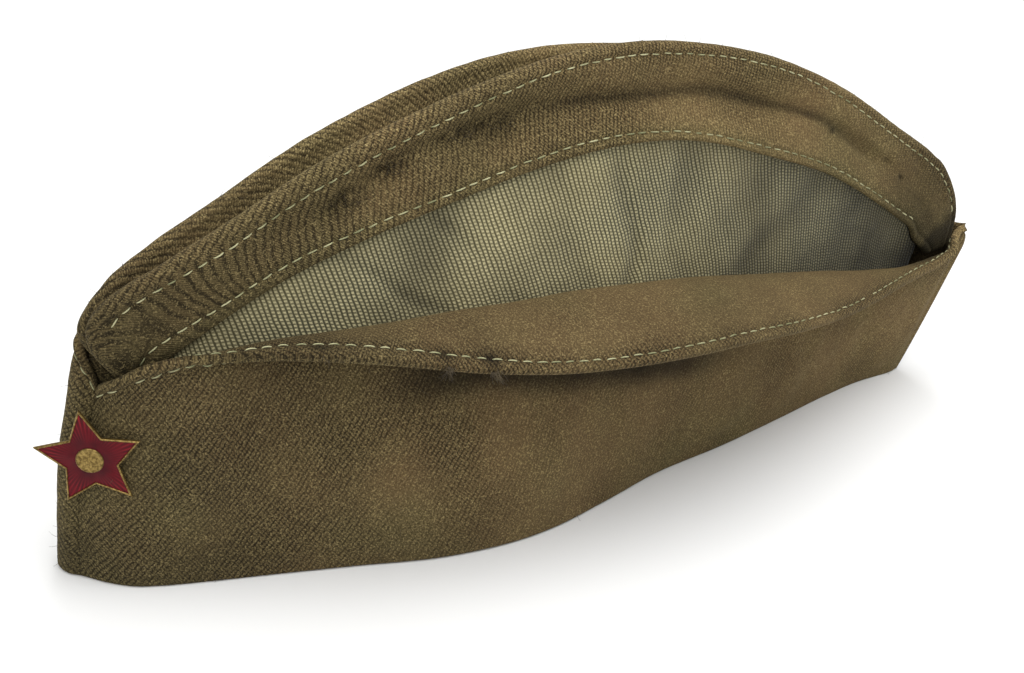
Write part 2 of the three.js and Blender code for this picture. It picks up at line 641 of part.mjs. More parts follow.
// Assembly
const flapShells = { left: flap(LEFT), right: flap(RIGHT) };
const { seat, depth } = starSeat(Object.values(flapShells));
const drill = new THREE.CylinderGeometry(POST_HOLE, POST_HOLE, 4 * depth, 16);
drill.rotateZ(-TURN);
drill.translate(seat.x, seat.y, seat.z);
const drilled = (positions, flipped) => geometryFrom(solidOf(geometryOf(positions, flipped)).subtract(solidOf(drill)));

const wool = { color: 0x5f563c, roughness: 0.95, metalness: 0 };
const cotton = { color: 0x7f8068, roughness: 0.9, metalness: 0 };
const cap = new THREE.Group();
cap.add(
  meshOf('crown_left', crown(LEFT), wool),
  meshOf('crown_right', crown(RIGHT), wool),
  meshOf('lower_wall_left', lowerWall(LEFT), cotton),
  meshOf('lower_wall_right', lowerWall(RIGHT), cotton),
  meshOf('flap_left', drilled(flapShells.left, false), wool),
  meshOf('flap_right', drilled(flapShells.right, true), wool),
  badge(seat, depth - BADGE_GAP - CLEARANCE),
);

// The origin is at the middle of the cap's footprint, on the surface that it stands on
const group = new THREE.Group();
group.add(cap);
group.updateMatrixWorld(true);
const box = new THREE.Box3().setFromObject(cap, true);
cap.position.set(-(box.min.x + box.max.x) / 2, -(box.min.y + box.max.y) / 2, 0);

export default group;
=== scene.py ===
# %% [markdown]
# A wool garrison cap, dressed for its portrait.
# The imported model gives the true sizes. This lesson builds finer cloth over it, piece by piece:
# the pleated crown, the cotton wall under it, the two flaps, the stitching and the enamelled star.
# Cloth and badge are worked out in millimetres and turned into metres as each piece is placed.
# The camera, the lamps and the floor are in metres from the start, as Blender has them.

# %% Load the fixed frame
import math

import bpy
import numpy as np
from mathutils import Matrix, Vector


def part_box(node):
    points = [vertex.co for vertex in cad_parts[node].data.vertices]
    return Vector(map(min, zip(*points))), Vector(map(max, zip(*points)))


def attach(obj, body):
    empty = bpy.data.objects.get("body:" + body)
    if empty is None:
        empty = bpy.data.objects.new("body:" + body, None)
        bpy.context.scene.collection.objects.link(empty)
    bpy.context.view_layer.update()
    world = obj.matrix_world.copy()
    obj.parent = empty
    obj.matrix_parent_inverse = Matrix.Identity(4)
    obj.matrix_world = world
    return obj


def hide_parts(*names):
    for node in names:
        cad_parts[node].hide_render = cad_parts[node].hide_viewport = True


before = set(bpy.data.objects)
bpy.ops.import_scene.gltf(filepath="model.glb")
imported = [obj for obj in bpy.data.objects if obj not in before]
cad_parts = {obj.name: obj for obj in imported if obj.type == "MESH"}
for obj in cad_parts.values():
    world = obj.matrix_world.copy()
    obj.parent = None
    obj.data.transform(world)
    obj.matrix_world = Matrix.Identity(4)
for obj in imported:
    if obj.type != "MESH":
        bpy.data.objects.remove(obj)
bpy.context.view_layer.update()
BODY = "root"
rng = np.random.default_rng(7)

# %% [markdown]
# The photograph looks at the cap from its front left corner and a little from above, with a long lens.
# A camera can be aimed with a Track To constraint, but a matrix from three angles is easier to repeat.
# The distance and lens were fitted to the cap's outline.

# %% Camera
AZIMUTH = -38.5
ELEVATION = 28.5
ROLL = 9.0
DISTANCE = 0.4326
TARGET = Vector((-0.02303, 0.00705, 0.0411))
IMAGE_WIDTH = 1024
FOCAL_PIXELS = 1700


def make_camera():
    """Make the scene's camera from its angles."""
    a, e, r = (math.radians(x) for x in (AZIMUTH, ELEVATION, ROLL))
    back = Vector((math.sin(a) * math.cos(e), -math.cos(a) * math.cos(e), math.sin(e)))
    right = Vector((math.cos(a), math.sin(a), 0))
    up = back.cross(right)
    across = right * math.cos(r) + up * math.sin(r)
    upward = up * math.cos(r) - right * math.sin(r)
    place = TARGET + back * DISTANCE
    data = bpy.data.cameras.new("camera")
    data.sensor_width = 36
    data.lens = data.sensor_width * FOCAL_PIXELS / IMAGE_WIDTH
    data.clip_start = 0.01
    camera = bpy.data.objects.new("camera", data)
    camera.matrix_world = Matrix((
        (across.x, upward.x, back.x, place.x),
        (across.y, upward.y, back.y, place.y),
        (across.z, upward.z, back.z, place.z),
        (0, 0, 0, 1),
    ))
    bpy.context.collection.objects.link(camera)
    bpy.context.scene.camera = camera
    return camera


print("lens in mm:", round(make_camera().data.lens, 1))

# %% [markdown]
# Every finish here is built from nodes. Colours are picked as the usual sRGB hex codes, and Blender works
# in linear light, so one helper turns a code into linear numbers. A second adds any node with its settings
# and links, so that a material reads as a list of steps.

# %% Colour and node helpers
FACTOR, FIRST, SECOND, MIXED = 0, 6, 7, 2  # sockets of a Mix node that mixes colours


def linear(code, alpha=1.0):
    """An sRGB hex colour as linear red, green, blue and alpha."""
    parts = [int(code[i:i + 2], 16) / 255 for i in (1, 3, 5)]
    return tuple(c / 12.92 if c <= 0.04045 else ((c + 0.055) / 1.055) ** 2.4 for c in parts) + (alpha,)


def add(tree, kind, inputs=(), give=0, **settings):
    """Add one node. Inputs are values, or outputs to link. One of its outputs is given back."""
    node = tree.nodes.new("ShaderNode" + kind)
    for name, value in settings.items():
        setattr(node, name, value)
    for name, value in inputs.items() if isinstance(inputs, dict) else enumerate(inputs):
        if isinstance(value, bpy.types.NodeSocket):
            tree.links.new(value, node.inputs[name])
        else:
            node.inputs[name].default_value = value
    return node.outputs[give] if node.outputs else node


def new_material(name):
    """A material with an empty tree."""
    material = bpy.data.materials.new(name)
    material.use_nodes = True
    material.node_tree.nodes.clear()
    return material, material.node_tree


print("a mid brown in linear light:", [round(c, 3) for c in linear("#5f5035")])

# %% [markdown]
# The portrait stands on a plain pale floor in soft studio light, as for a catalogue.
# A bright world alone would light cloth evenly from all round and flatten its folds. So most of the light
# comes from one wide softbox overhead, which darkens whatever lies under an edge,
# with a smaller one in front to shape the side and a weak one behind.

# %% Floor and light
WORLD_STRENGTH = 0.45
LAMPS = [
    # name, place, size, watts
    ("overhead", (0.05, -0.15, 1.30), 1.2, 19.0),
    ("front", (-0.75, -0.55, 0.75), 0.45, 4.0),
    ("back", (0.35, 0.9, 0.8), 0.6, 4.0),
]
LAMP_AIM = Vector((0, 0, 0.04))
FLOOR_REACH = 4.0


def make_floor():
    """A wide painted floor with a faint unevenness in its tone."""
    r = FLOOR_REACH
    mesh = bpy.data.meshes.new("floor")
    mesh.from_pydata([(-r, -r, 0), (r, -r, 0), (r, r, 0), (-r, r, 0)], [], [(0, 1, 2, 3)])
    material, tree = new_material("pale_painted_floor")
    tone = add(tree, "TexNoise", {"Scale": 3.0, "Detail": 2.0})
    colour = add(tree, "Mix", {
        FACTOR: tone, FIRST: linear("#e4e4e3"), SECOND: linear("#e8e8e7"),
    }, MIXED, data_type="RGBA")
    shader = add(tree, "BsdfPrincipled", {"Base Color": colour, "Roughness": 0.9})
    add(tree, "OutputMaterial", {"Surface": shader})
    mesh.materials.append(material)
    floor = bpy.data.objects.new("floor", mesh)
    bpy.context.collection.objects.link(floor)


def make_lights():
    """A dim white world and the lamps, all aimed at the cap."""
    world = bpy.data.worlds.new("studio")
    world.use_nodes = True
    background = world.node_tree.nodes["Background"]
    background.inputs["Color"].default_value = linear("#ffffff")
    background.inputs["Strength"].default_value = WORLD_STRENGTH
    bpy.context.scene.world = world
    for name, place, size, watts in LAMPS:
        lamp = bpy.data.lights.new(name, "AREA")
        lamp.energy = watts
        lamp.size = size
        holder = bpy.data.objects.new(name, lamp)
        holder.location = place
        holder.rotation_euler = (LAMP_AIM - Vector(place)).to_track_quat("-Z", "Y").to_euler()
        bpy.context.collection.objects.link(holder)


make_floor()
make_lights()
bpy.context.scene.view_settings.view_transform = "Standard"
print("lamps:", [row[0] for row in LAMPS])

# %% [markdown]
# The cloth's form. A garrison cap is a flat pattern folded in two: a rim, a lower edge of the crown's wool,
# a ridge with a valley beside it, and flaps turned up outside. Sculpting by hand would lose the true sizes,
# so the same curves as in the solids are used: short tables of the cap's outline, joined by smooth curves.
# Their lengths are shares of the driving sizes.

# %% Driving sizes
RIM_LENGTH = 268.0  # front seam to back seam at the foot
HALF_BREADTH = 30.0  # widest half of the rim
SEAM_HEIGHT = 96.0  # the wool's lower edge where it is highest
CROWN_HEIGHT = 119.8  # floor to the top of the near ridge
FAR_RIDGE_DROP = 3.4  # far ridge below the near one
LAPEL_REACH = 44.0  # the opened flap's lip out from the middle
NOTCH_HEIGHT = 51.0  # foot of the notch in front
RIDGE_SPACING = 11.0  # between the two ridges
PLEAT_DEPTH = 11.0  # top of a ridge to the bottom of the valley
CROWN_DENT = 2.2  # how far the middle of the crown's band lies in
WALL_BULGE = 1.8  # how far the middle of the lower wall stands out
FLAP_COVER = 3.0  # the closed flap's edge above the wool's lower edge
LAP = 6.0  # cotton that runs up behind the wool
LAPEL_ROLL = 9.0  # how far the opened flap goes on up before it turns out
WOOL = 1.4  # thicknesses of one layer of wool, the cotton and a flap
COTTON = 1.2
FLAP = 2.2
FOLD_RADIUS = 2.0  # of the ridges, and then of their front ends
NOSE_FOLD_RADIUS = 1.56
NOSE_PINCH = 0.7  # how far the crown is drawn in at the front
CLEARANCE = 0.3  # left between neighbours
STAR_RADIUS = 12.6  # middle to tip
STAR_TURN = 36.9  # degrees the badge faces round from the near side toward the front
STAR_LEAN = 13.5  # degrees it is turned in its own plane
FULL_SPAN = (0, 1)  # first and last place of each face, as shares of the length
CROWN_SPAN = (0.045, 0.975)
COTTON_SPAN = (0.0, 0.95)
CROWN_BACKING = (0.075, 0.93)  # places between which a flap can lie against the crown
SHIFT = np.array((-136.627, 7.050, 0.0))  # from the front seam's foot to the frame's middle
LEFT, RIGHT = -1, 1
SIDE_NAMES = {LEFT: "left", RIGHT: "right"}
print("rim and height, mm:", RIM_LENGTH, CROWN_HEIGHT)

# %% [markdown]
# Each table has a row for each place along the cap, from the front seam (0) to the back seam (1).
# A smooth curve runs through every column.

# %% Outline tables
# Columns: at, x, y
RIM_NOSE_LEFT = [
    (0, 0.0045, -0.065),
    (0.01, 0.0119, 0.0),
    (0.02, 0.0198, 0.08),
    (0.035, 0.0351, 0.195),
    (0.06, 0.0593, 0.285),
]
# Columns: at, x, y
RIM_NOSE_RIGHT = [
    (0, 0.0045, 0.065),
    (0.01, -0.0015, 0.115),
    (0.02, -0.0035, 0.18),
    (0.035, 0.0040, 0.250),
    (0.06, 0.0380, 0.315),
]
# Columns: at, x, y
RIM_SIDE = [
    (0.09, 0.0903, 0.362),
    (0.15, 0.1515, 0.5),
    (0.22, 0.2228, 0.665),
    (0.30, 0.3037, 0.857),
    (0.37, 0.3731, 0.917),
    (0.43, 0.4272, 0.88),
    (0.50, 0.4981, 0.738),
    (0.58, 0.5772, 0.560),
    (0.68, 0.678, 0.430),
    (0.78, 0.7776, 0.262),
    (0.87, 0.8668, 0.100),
    (0.925, 0.923, 0.020),
    (0.96, 0.955, 0.008),
    (0.98, 0.978, 0.005),
    (1, 0.9965, 0.005),
]
# Columns: at, x, y, z
SEAM_NOSE_LEFT = [
    (0, 0.0142, -0.065, 0.502),
    (0.01, 0.0205, 0.005, 0.515),
    (0.02, 0.0250, 0.095, 0.532),
    (0.035, 0.0360, 0.180, 0.560),
    (0.06, 0.0590, 0.240, 0.605),
]
# Columns: at, x, y, z
SEAM_NOSE_RIGHT = [
    (0, 0.0142, 0.065, 0.502),
    (0.01, 0.0072, 0.115, 0.552),
    (0.02, 0.0065, 0.170, 0.590),
    (0.035, 0.0215, 0.215, 0.612),
    (0.06, 0.0590, 0.240, 0.630),
]
# Columns: at, x, y, z
SEAM_SIDE = [
    (0.08, 0.0765, 0.255, 0.642),
    (0.10, 0.0993, 0.262, 0.680),
    (0.15, 0.1500, 0.305, 0.765),
    (0.22, 0.2200, 0.360, 0.849),
    (0.30, 0.3000, 0.376, 0.914),
    (0.37, 0.3700, 0.372, 0.962),
    (0.43, 0.4300, 0.360, 0.990),
    (0.50, 0.5000, 0.343, 1.002),
    (0.58, 0.5770, 0.332, 0.982),
    (0.68, 0.6780, 0.322, 0.902),
    (0.78, 0.7780, 0.290, 0.802),
    (0.87, 0.8700, 0.250, 0.666),
    (0.925, 0.9280, 0.222, 0.570),
    (0.96, 0.9700, 0.213, 0.510),
    (0.98, 1.0150, 0.175, 0.485),
    (0.99, 1.0350, 0.105, 0.482),
    (1, 1.0570, 0.005, 0.478),
]
# Columns: at, along, share
FOOT = [
    (0, 0, 1),
    (0.90, 0.90, 1),
    (0.925, 0.924, 0.995),
    (0.945, 0.937, 0.950),
    (0.96, 0.950, 0.932),
    (0.975, 0.961, 0.897),
]
# Columns: at, low, high, lap
COTTON_EDGES = [
    (0, 0, 0.78, 0),
    (0.045, 0, 0.78, 0),
    (0.062, 0, 1, 0),
    (0.078, 0, 1, 0),
    (0.092, 0, 1, 1),
    (0.13, 0, 1, 1),
    (0.78, 0, 1, 1),
    (0.80, 0, 1, 1),
    (0.87, 0.12, 1, 1),
    (0.90, 0.30, 1, 0.5),
    (0.925, 0.45, 1, 0.1),
    (0.938, 0.52, 0.95, 0),
    (0.95, 0.56, 0.93, 0),
]
# Columns: at, x, z, spread, deep, dent, drop
RIDGE = [
    (0.045, 0.0500, 0.376, 0.32, 0.50, 0.0, 0.0),
    (0.055, 0.0340, 0.417, 0.32, 0.50, 0.0, 0.0),
    (0.065, 0.0160, 0.459, 0.32, 0.50, 0.0, 0.0),
    (0.075, 0.0020, 0.501, 0.33, 0.52, 0.0, 0.0),
    (0.085, -0.0040, 0.543, 0.38, 0.55, 0.0, 0.0),
    (0.095, 0.0007, 0.583, 0.46, 0.60, 0.0, 0.0),
    (0.105, 0.0127, 0.613, 0.58, 0.66, 0.1, 0.0),
    (0.13, 0.0540, 0.668, 0.76, 0.82, 0.3, 0.0),
    (0.16, 0.1060, 0.7305, 0.84, 0.92, 0.6, 0.0),
    (0.22, 0.1790, 0.822, 0.93, 0.98, 0.9, 0.0),
    (0.30, 0.2760, 0.911, 1.00, 1.00, 1.0, 0.0),
    (0.37, 0.3580, 0.965, 0.95, 1.00, 0.9, 0.15),
    (0.43, 0.4220, 0.992, 0.84, 1.00, 0.8, 0.50),
    (0.50, 0.4960, 1.000, 0.71, 1.00, 0.8, 0.92),
    (0.58, 0.5790, 0.9815, 0.60, 1.00, 0.9, 1.00),
    (0.68, 0.6850, 0.926, 0.56, 0.98, 0.8, 1.00),
    (0.78, 0.7900, 0.8305, 0.54, 0.92, 0.6, 1.00),
    (0.87, 0.8870, 0.711, 0.50, 0.82, 0.3, 0.90),
    (0.92, 0.9490, 0.632, 0.46, 0.72, 0.1, 0.60),
    (0.945, 0.9800, 0.5785, 0.43, 0.66, 0.0, 0.40),
    (0.955, 0.9980, 0.530, 0.42, 0.64, 0.0, 0.30),
    (0.962, 1.0093, 0.488, 0.42, 0.62, 0.0, 0.20),
    (0.968, 1.0160, 0.442, 0.42, 0.60, 0.0, 0.10),
    (0.975, 1.0165, 0.360, 0.42, 0.56, 0.0, 0.0),
]
# Columns: at, leave, roll, x, y, z
LAPEL = [
    (0, 0.95, 0.10, 0.0135, -0.0389, 0.985),
    (0.02, 0.95, 0.10, 0.0210, 0.086, 1.072),
    (0.035, 0.95, 0.10, 0.0340, 0.148, 1.139),
    (0.05, 0.95, 0.12, 0.0490, 0.192, 1.175),
    (0.07, 0.93, 0.20, 0.0680, 0.228, 1.195),
    (0.10, 0.86, 0.45, 0.1005, 0.330, 1.210),
    (0.15, 0.77, 0.75, 0.1490, 0.525, 1.245),
    (0.22, 0.71, 0.90, 0.2200, 0.715, 1.225),
    (0.30, 0.68, 1.00, 0.2985, 0.850, 1.155),
    (0.37, 0.65, 1.00, 0.3700, 0.930, 1.110),
    (0.43, 0.63, 1.00, 0.4300, 0.975, 1.095),
    (0.50, 0.60, 1.00, 0.5000, 1.000, 1.090),
    (0.58, 0.58, 1.00, 0.5780, 0.975, 1.075),
    (0.68, 0.58, 0.95, 0.6790, 0.860, 1.000),
    (0.78, 0.59, 0.85, 0.7790, 0.680, 0.930),
    (0.87, 0.63, 0.65, 0.8730, 0.475, 0.905),
    (0.92, 0.70, 0.45, 0.9290, 0.350, 0.895),
    (0.95, 0.80, 0.25, 0.9690, 0.273, 0.892),
    (0.965, 0.86, 0.15, 0.9870, 0.227, 0.894),
    (0.98, 0.90, 0.10, 1.0157, 0.134, 0.905),
    (0.99, 0.93, 0.10, 1.0370, 0.060, 0.930),
    (1, 0.95, 0.10, 1.0573, 0.004, 0.955),
]
print("rows of the ridge and the lapel:", len(RIDGE), len(LAPEL))

# %% [markdown]
# A Blender curve object could run through these points, but the cloth is worked out as arrays of numbers,
# so a few lines of arithmetic do it. Between two rows the curve is a cubic. Its slope at a row comes from
# the rows on both sides, so the outline has no corners.

# %% Smooth curves through the tables


def smooth(x, low, high):
    """0 below low, 1 above high, and an even S between."""
    t = np.clip((x - low) / (high - low), 0, 1)
    return t * t * (3 - 2 * t)


def track(at, value):
    """A smooth curve through the values of one column."""
    at, value = np.array(at, float), np.array(value, float)
    rate = np.diff(value) / np.diff(at)
    gap = np.diff(at)
    slope = np.empty_like(value)
    slope[0], slope[-1] = rate[0], rate[-1]
    slope[1:-1] = (rate[:-1] * gap[1:] + rate[1:] * gap[:-1]) / (gap[:-1] + gap[1:])

    def curve(s):
        i = np.clip(np.searchsorted(at, s, side="left") - 1, 0, len(gap) - 1)
        t = np.clip((s - at[i]) / gap[i], 0, 1)
        a = (1 + 2 * t) * (1 - t) ** 2
        b = t * (1 - t) ** 2
        c = t * t * (3 - 2 * t)
        d = t * t * (t - 1)
        return a * value[i] + b * gap[i] * slope[i] + c * value[i + 1] + d * gap[i] * slope[i + 1]

    return curve


def tracks(names, rows):
    """A curve for each column of a table."""
    columns = list(zip(*rows))
    return {name: track(columns[0], column) for name, column in zip(names, columns[1:])}


RIMS = {LEFT: tracks("xy", RIM_NOSE_LEFT + RIM_SIDE), RIGHT: tracks("xy", RIM_NOSE_RIGHT + RIM_SIDE)}
SEAMS = {LEFT: tracks("xyz", SEAM_NOSE_LEFT + SEAM_SIDE), RIGHT: tracks("xyz", SEAM_NOSE_RIGHT + SEAM_SIDE)}
FOOTS = tracks(("along", "share"), FOOT)
RIDGES = tracks(("x", "z", "spread", "deep", "dent", "drop"), RIDGE)
LAPELS = tracks(("leave", "roll", "x", "y", "z"), LAPEL)
COTTONS = tracks(("low", "high", "lap"), COTTON_EDGES)
print("ridge height half way along, mm:", round(float(RIDGES["z"](0.5)) * CROWN_HEIGHT, 1))

# %% [markdown]
# The faces of the cloth. Each is a function of a place along the cap and a height on it, and gives points.
# The flaps meet the walls in one common face, and every piece grows away from it,
# so nothing cuts through its neighbour.

# %% Face of the lower wall


def points(x, y, z):
    """Coordinates put together as points."""
    x, y, z = np.broadcast_arrays(x, y, z)
    return np.stack((x, y, z), axis=-1).astype(float)


def between(a, b, t):
    """Part of the way from one point to another."""
    return a + (b - a) * t[..., None]


def unit(v):
    """Directions of length one."""
    return v / np.maximum(np.linalg.norm(v, axis=-1, keepdims=True), 1e-9)


def lower_face(side, s, h):
    """The lower wall, from the rim (0) to the wool's lower edge (1)."""
    rim, seam = RIMS[side], SEAMS[side]
    foot = points(rim["x"](s) * RIM_LENGTH, side * rim["y"](s) * HALF_BREADTH, 0 * s)
    head = points(seam["x"](s) * RIM_LENGTH, side * seam["y"](s) * HALF_BREADTH, seam["z"](s) * SEAM_HEIGHT)
    face = between(foot, head, h)
    bulge = WALL_BULGE * np.sin(np.pi * h)
    nose = np.exp(-((s / 0.04) ** 2))
    tail = np.exp(-(((1 - s) / 0.05) ** 2))
    face[..., 0] += bulge * (0.15 * tail - nose)
    face[..., 1] += side * bulge * (1 - nose - tail) * smooth(s, 0, 0.1) * smooth(1 - s, 0, 0.1)
    return face


wall_foot = lower_face(LEFT, np.array([0.5]), np.array([0.0]))[0]
print("near wall's foot half way along, mm:", wall_foot.round(1).tolist())

# %% [markdown]
# The crown's face goes up the band, round the fold of the ridge and down into the valley. A bevel would
# round the ridge by the same amount everywhere, so the fold is a half circle whose radius changes along it.
# The wall's face goes on up the crown, because a closed flap lies against both.

# %% Faces of the crown and of the wall above its edge


def crown_foot(side, s):
    """The crown's lower edge."""
    foot = lower_face(LEFT, FOOTS["along"](s), np.minimum(FOOTS["share"](s), 1))
    foot[..., 1] = side * (np.abs(foot[..., 1]) - NOSE_PINCH * (1 - smooth(s, 0.055, 0.085)))
    return foot


def ridge_frame(side, s):
    """Top of the ridge, the way in from it, the centre of its fold and the fold's radius."""
    def place(p):
        return points(RIDGES["x"](p) * RIM_LENGTH, 0 * p, RIDGES["z"](p) * CROWN_HEIGHT)
    step = 0.002
    along = unit(place(np.minimum(s + step, CROWN_SPAN[1])) - place(np.maximum(s - step, CROWN_SPAN[0])))
    inward = points(along[..., 2], 0 * s, -along[..., 0])
    half = RIDGES["spread"](s) * RIDGE_SPACING / 2
    drop = FAR_RIDGE_DROP * RIDGES["drop"](s) if side == RIGHT else 0 * s
    top = place(s) + points(0 * s, side * half, -drop)
    radius = NOSE_FOLD_RADIUS + (FOLD_RADIUS - NOSE_FOLD_RADIUS) * smooth(s, 0.07, 0.11)
    return top, inward, top + inward * radius[..., None], radius


def crown_face(side, s, t):
    """The crown: t runs 0 to 1 up the band, 1 to 2 round the fold, 2 to 3 down into the valley."""
    top, inward, centre, radius = ridge_frame(side, s)
    sideways = points(0 * s, side * radius, 0 * s)
    band = between(crown_foot(side, s), centre + sideways, np.clip(t, 0, 1))
    band[..., 1] -= side * CROWN_DENT * RIDGES["dent"](s) * np.sin(np.pi * np.clip(t, 0, 1)) ** 2
    angle = np.pi * (np.clip(t, 1, 2) - 1)
    fold = centre + sideways * np.cos(angle)[..., None] - inward * (radius * np.sin(angle))[..., None]
    bottom = top + inward * (PLEAT_DEPTH * RIDGES["deep"](s))[..., None]
    bottom[..., 1] = side * CLEARANCE / 2
    valley = between(centre - sideways, bottom, np.clip(t, 2, 3) - 2)
    return np.where((t <= 1)[..., None], band, np.where((t <= 2)[..., None], fold, valley))


def wall_face(side, s, h):
    """The common face. Above 1 it follows the crown where a flap can lie against it."""
    face = lower_face(side, s, np.minimum(h, 1))
    over = np.maximum(h - 1, 0)
    face[..., 2] += over * SEAM_HEIGHT
    band = np.linalg.norm(crown_face(side, s, 0 * s) - crown_face(side, s, 0 * s + 1), axis=-1)
    crown = crown_face(side, s, np.minimum(over * SEAM_HEIGHT / band, 1))
    backed = (h > 1) & (s > CROWN_BACKING[0]) & (s < CROWN_BACKING[1])
    return np.where(backed[..., None], crown, face)


TURN = math.radians(STAR_TURN)
NOSE_FACING = np.array((-math.sin(TURN), -math.cos(TURN), 0))
NOSE_ACROSS = np.array((math.cos(TURN), -math.sin(TURN), 0))


def normal_of(face, side, s, h, span):
    """Outward direction of a face."""
    ds, dh = 0.002, 0.01
    along = face(side, np.minimum(s + ds, span[1]), h) - face(side, np.maximum(s - ds, span[0]), h)
    up = face(side, s, h + dh) - face(side, s, h - dh)
    normal = unit(np.cross(along, up) * -side)
    if span[0] > 0:
        return normal
    share = (1 - smooth(s, 0, 0.01))[..., None]
    return unit(normal * (1 - share) + NOSE_FACING * share)


wall_top = wall_face(LEFT, np.array([0.5]), np.array([1.0]))[0]
print("top of the near wall half way along, mm:", wall_top.round(1).tolist())

# %% [markdown]
# The faces of the flaps. The closed flap follows the wall. The opened one follows it only up to the place
# where it leaves, and then rolls outward to its lip as a lapel does. A Bezier curve of four points draws
# the roll, because it leaves the wall without a kink. The cotton's face lies a little behind the others.

# %% Faces of the flaps


def cotton_inset(h):
    """How far the cotton lies behind the common face."""
    return (WOOL + CLEARANCE) * smooth(h, 0.3, 0.92)


def lapel_face(side, s, v):
    """Inside of the opened flap: up the wall to where it leaves (1), then out to the lip (2)."""
    def on_wall(h):
        closer = cotton_inset(h) * smooth(s, 0.08, 0.15) * smooth(1 - s, 0.06, 0.14)
        outward = normal_of(wall_face, LEFT, s, h, FULL_SPAN)
        return wall_face(LEFT, s, h) + outward * (CLEARANCE - closer)[..., None]
    leave = LAPELS["leave"](s)
    start = on_wall(leave)
    rising = unit(start - on_wall(leave - 0.05))
    lip = points(LAPELS["x"](s) * RIM_LENGTH, -LAPELS["y"](s) * LAPEL_REACH, LAPELS["z"](s) * NOTCH_HEIGHT)
    reach = np.linalg.norm(lip - start, axis=-1)
    roll = LAPELS["roll"](s)
    first = start + rising * (LAPEL_ROLL * roll)[..., None]
    out = unit(lip - first)
    second = lip - out * (reach * 0.42)[..., None] + points(0 * s, 0 * s, reach * 0.12 * roll)
    t = np.clip(v - 1, 0, 1)[..., None]
    k = 1 - t
    curl = start * k ** 3 + first * 3 * k * k * t + second * 3 * k * t * t + lip * t ** 3
    return np.where((v <= 1)[..., None], on_wall(leave * np.minimum(v, 1)), curl)


def closed_face(side, s, v):
    """Inside of the closed flap: up to the wool's lower edge (1), then on to its own edge (2)."""
    h = np.where(v <= 1, v, 1 + (v - 1) * FLAP_COVER / SEAM_HEIGHT)
    return wall_face(RIGHT, s, h) + normal_of(wall_face, RIGHT, s, h, FULL_SPAN) * CLEARANCE


def cotton_face(side, s, v):
    """Outside of the cotton, from its lower edge (0) to its upper one (1)."""
    low = np.maximum(COTTONS["low"](s), 0)
    high = COTTONS["high"](s) + COTTONS["lap"](s) * LAP / SEAM_HEIGHT
    h = low + (high - low) * v
    outward = normal_of(wall_face, side, s, h, FULL_SPAN)
    return wall_face(side, s, h) - outward * cotton_inset(h)[..., None]


half_way = np.array([0.5])
opened = lapel_face(LEFT, half_way, np.array([2.0])) - lapel_face(LEFT, half_way, np.array([1.0]))
print("opened part of the flap half way along, mm:", round(float(np.linalg.norm(opened)), 1))

# %% [markdown]
# Cloth as a mesh. A flat sheet with a Solidify modifier would have hard square edges,
# and a hem is round and a little thicker. So each piece is sampled at true distances from its edges,
# gets its thickness from a half circle at each edge, and is closed all round.

# %% Sampling and thickness
WALK_POINTS = 241  # points walked up a column to measure it
HEM_SHARE = 0.12  # share of the thickness left at the very edge
LEAST_MIDDLE = 6.0  # millimetres kept between the rows of the two edges


def lengths_up(grid):
    """Distance walked up each column of a grid of points."""
    step = np.linalg.norm(np.diff(grid, axis=1), axis=-1)
    return np.concatenate((np.zeros((len(grid), 1)), np.cumsum(step, axis=1)), axis=1)


def sample(face, side, places, top, rows):
    """Points of a face at chosen distances up each column, with those distances."""
    v = np.linspace(0, top, WALK_POINTS)
    s, height = np.meshgrid(places, v, indexing="ij")
    run = lengths_up(face(side, s, height))
    wanted = rows(run[:, -1])
    height = np.stack([np.interp(w, r, v) for w, r in zip(wanted, run)])
    s = np.repeat(places[:, None], height.shape[1], axis=1)
    return face(side, s, height), wanted


def grid_normals(grid, side):
    """Outward directions of a grid of points."""
    along = np.gradient(grid, axis=0)
    up = np.gradient(grid, axis=1)
    return unit(np.cross(along, up) * -side)


def round_edge(distance, thickness):
    """Share of the full thickness at a distance from an edge."""
    t = np.clip(distance / (thickness / 2), 0, 1)
    return HEM_SHARE + (1 - HEM_SHARE) * np.sqrt(1 - (1 - t) ** 2)


NEAR_EDGE = [0, 0.1, 0.3, 0.65, 1.1, 1.7, 2.2, 2.7, 3.1, 3.5, 3.9, 4.3, 4.8, 5.5, 6.4]


def edged_rows(low, high, count):
    """Rows close together at both edges and even between, for any length of column."""
    low, high = np.array(low, float), np.array(high, float)

    def rows(total):
        share = np.minimum(1, total / (low[-1] + high[-1] + LEAST_MIDDLE))[:, None]
        inner = np.linspace(0, 1, count + 2)[1:-1]
        start, end = low[-1] * share, total[:, None] - high[-1] * share
        top = total[:, None] - high[::-1] * share
        return np.concatenate((low * share, start + (end - start) * inner, top), axis=1)

    return rows


def places_along(count, low, high):
    """Places along the cap, closer together at its ends."""
    u = np.linspace(0, 1, count)
    return low + (high - low) * (u - 0.5 * np.sin(2 * np.pi * u) / (2 * np.pi))


print("rows near an edge:", len(NEAR_EDGE))

# %% [markdown]
# Cloth is never quite smooth. Blender's displacement textures would do, but they can't be told to stay
# away from a hem. Sums of sine waves in random directions give the same soft relief as plain numbers,
# and a bell curve gives one groove, crease or worn spot at a chosen distance.

# %% Relief


def noise(grid, size, seed, count=28):
    """Soft random relief, about -1 to 1, with lumps of one size in millimetres."""
    dice = np.random.default_rng(seed)
    total = np.zeros(grid.shape[:-1])
    for _ in range(count):
        way = unit(dice.normal(size=3)) * 2 * np.pi / (size * dice.uniform(0.7, 1.6))
        total += np.sin(grid @ way + dice.uniform(0, 2 * np.pi))
    return total / math.sqrt(count)


def bump_at(x, centre, width):
    """A smooth bump of height one."""
    return np.exp(-(((x - centre) / width) ** 2))


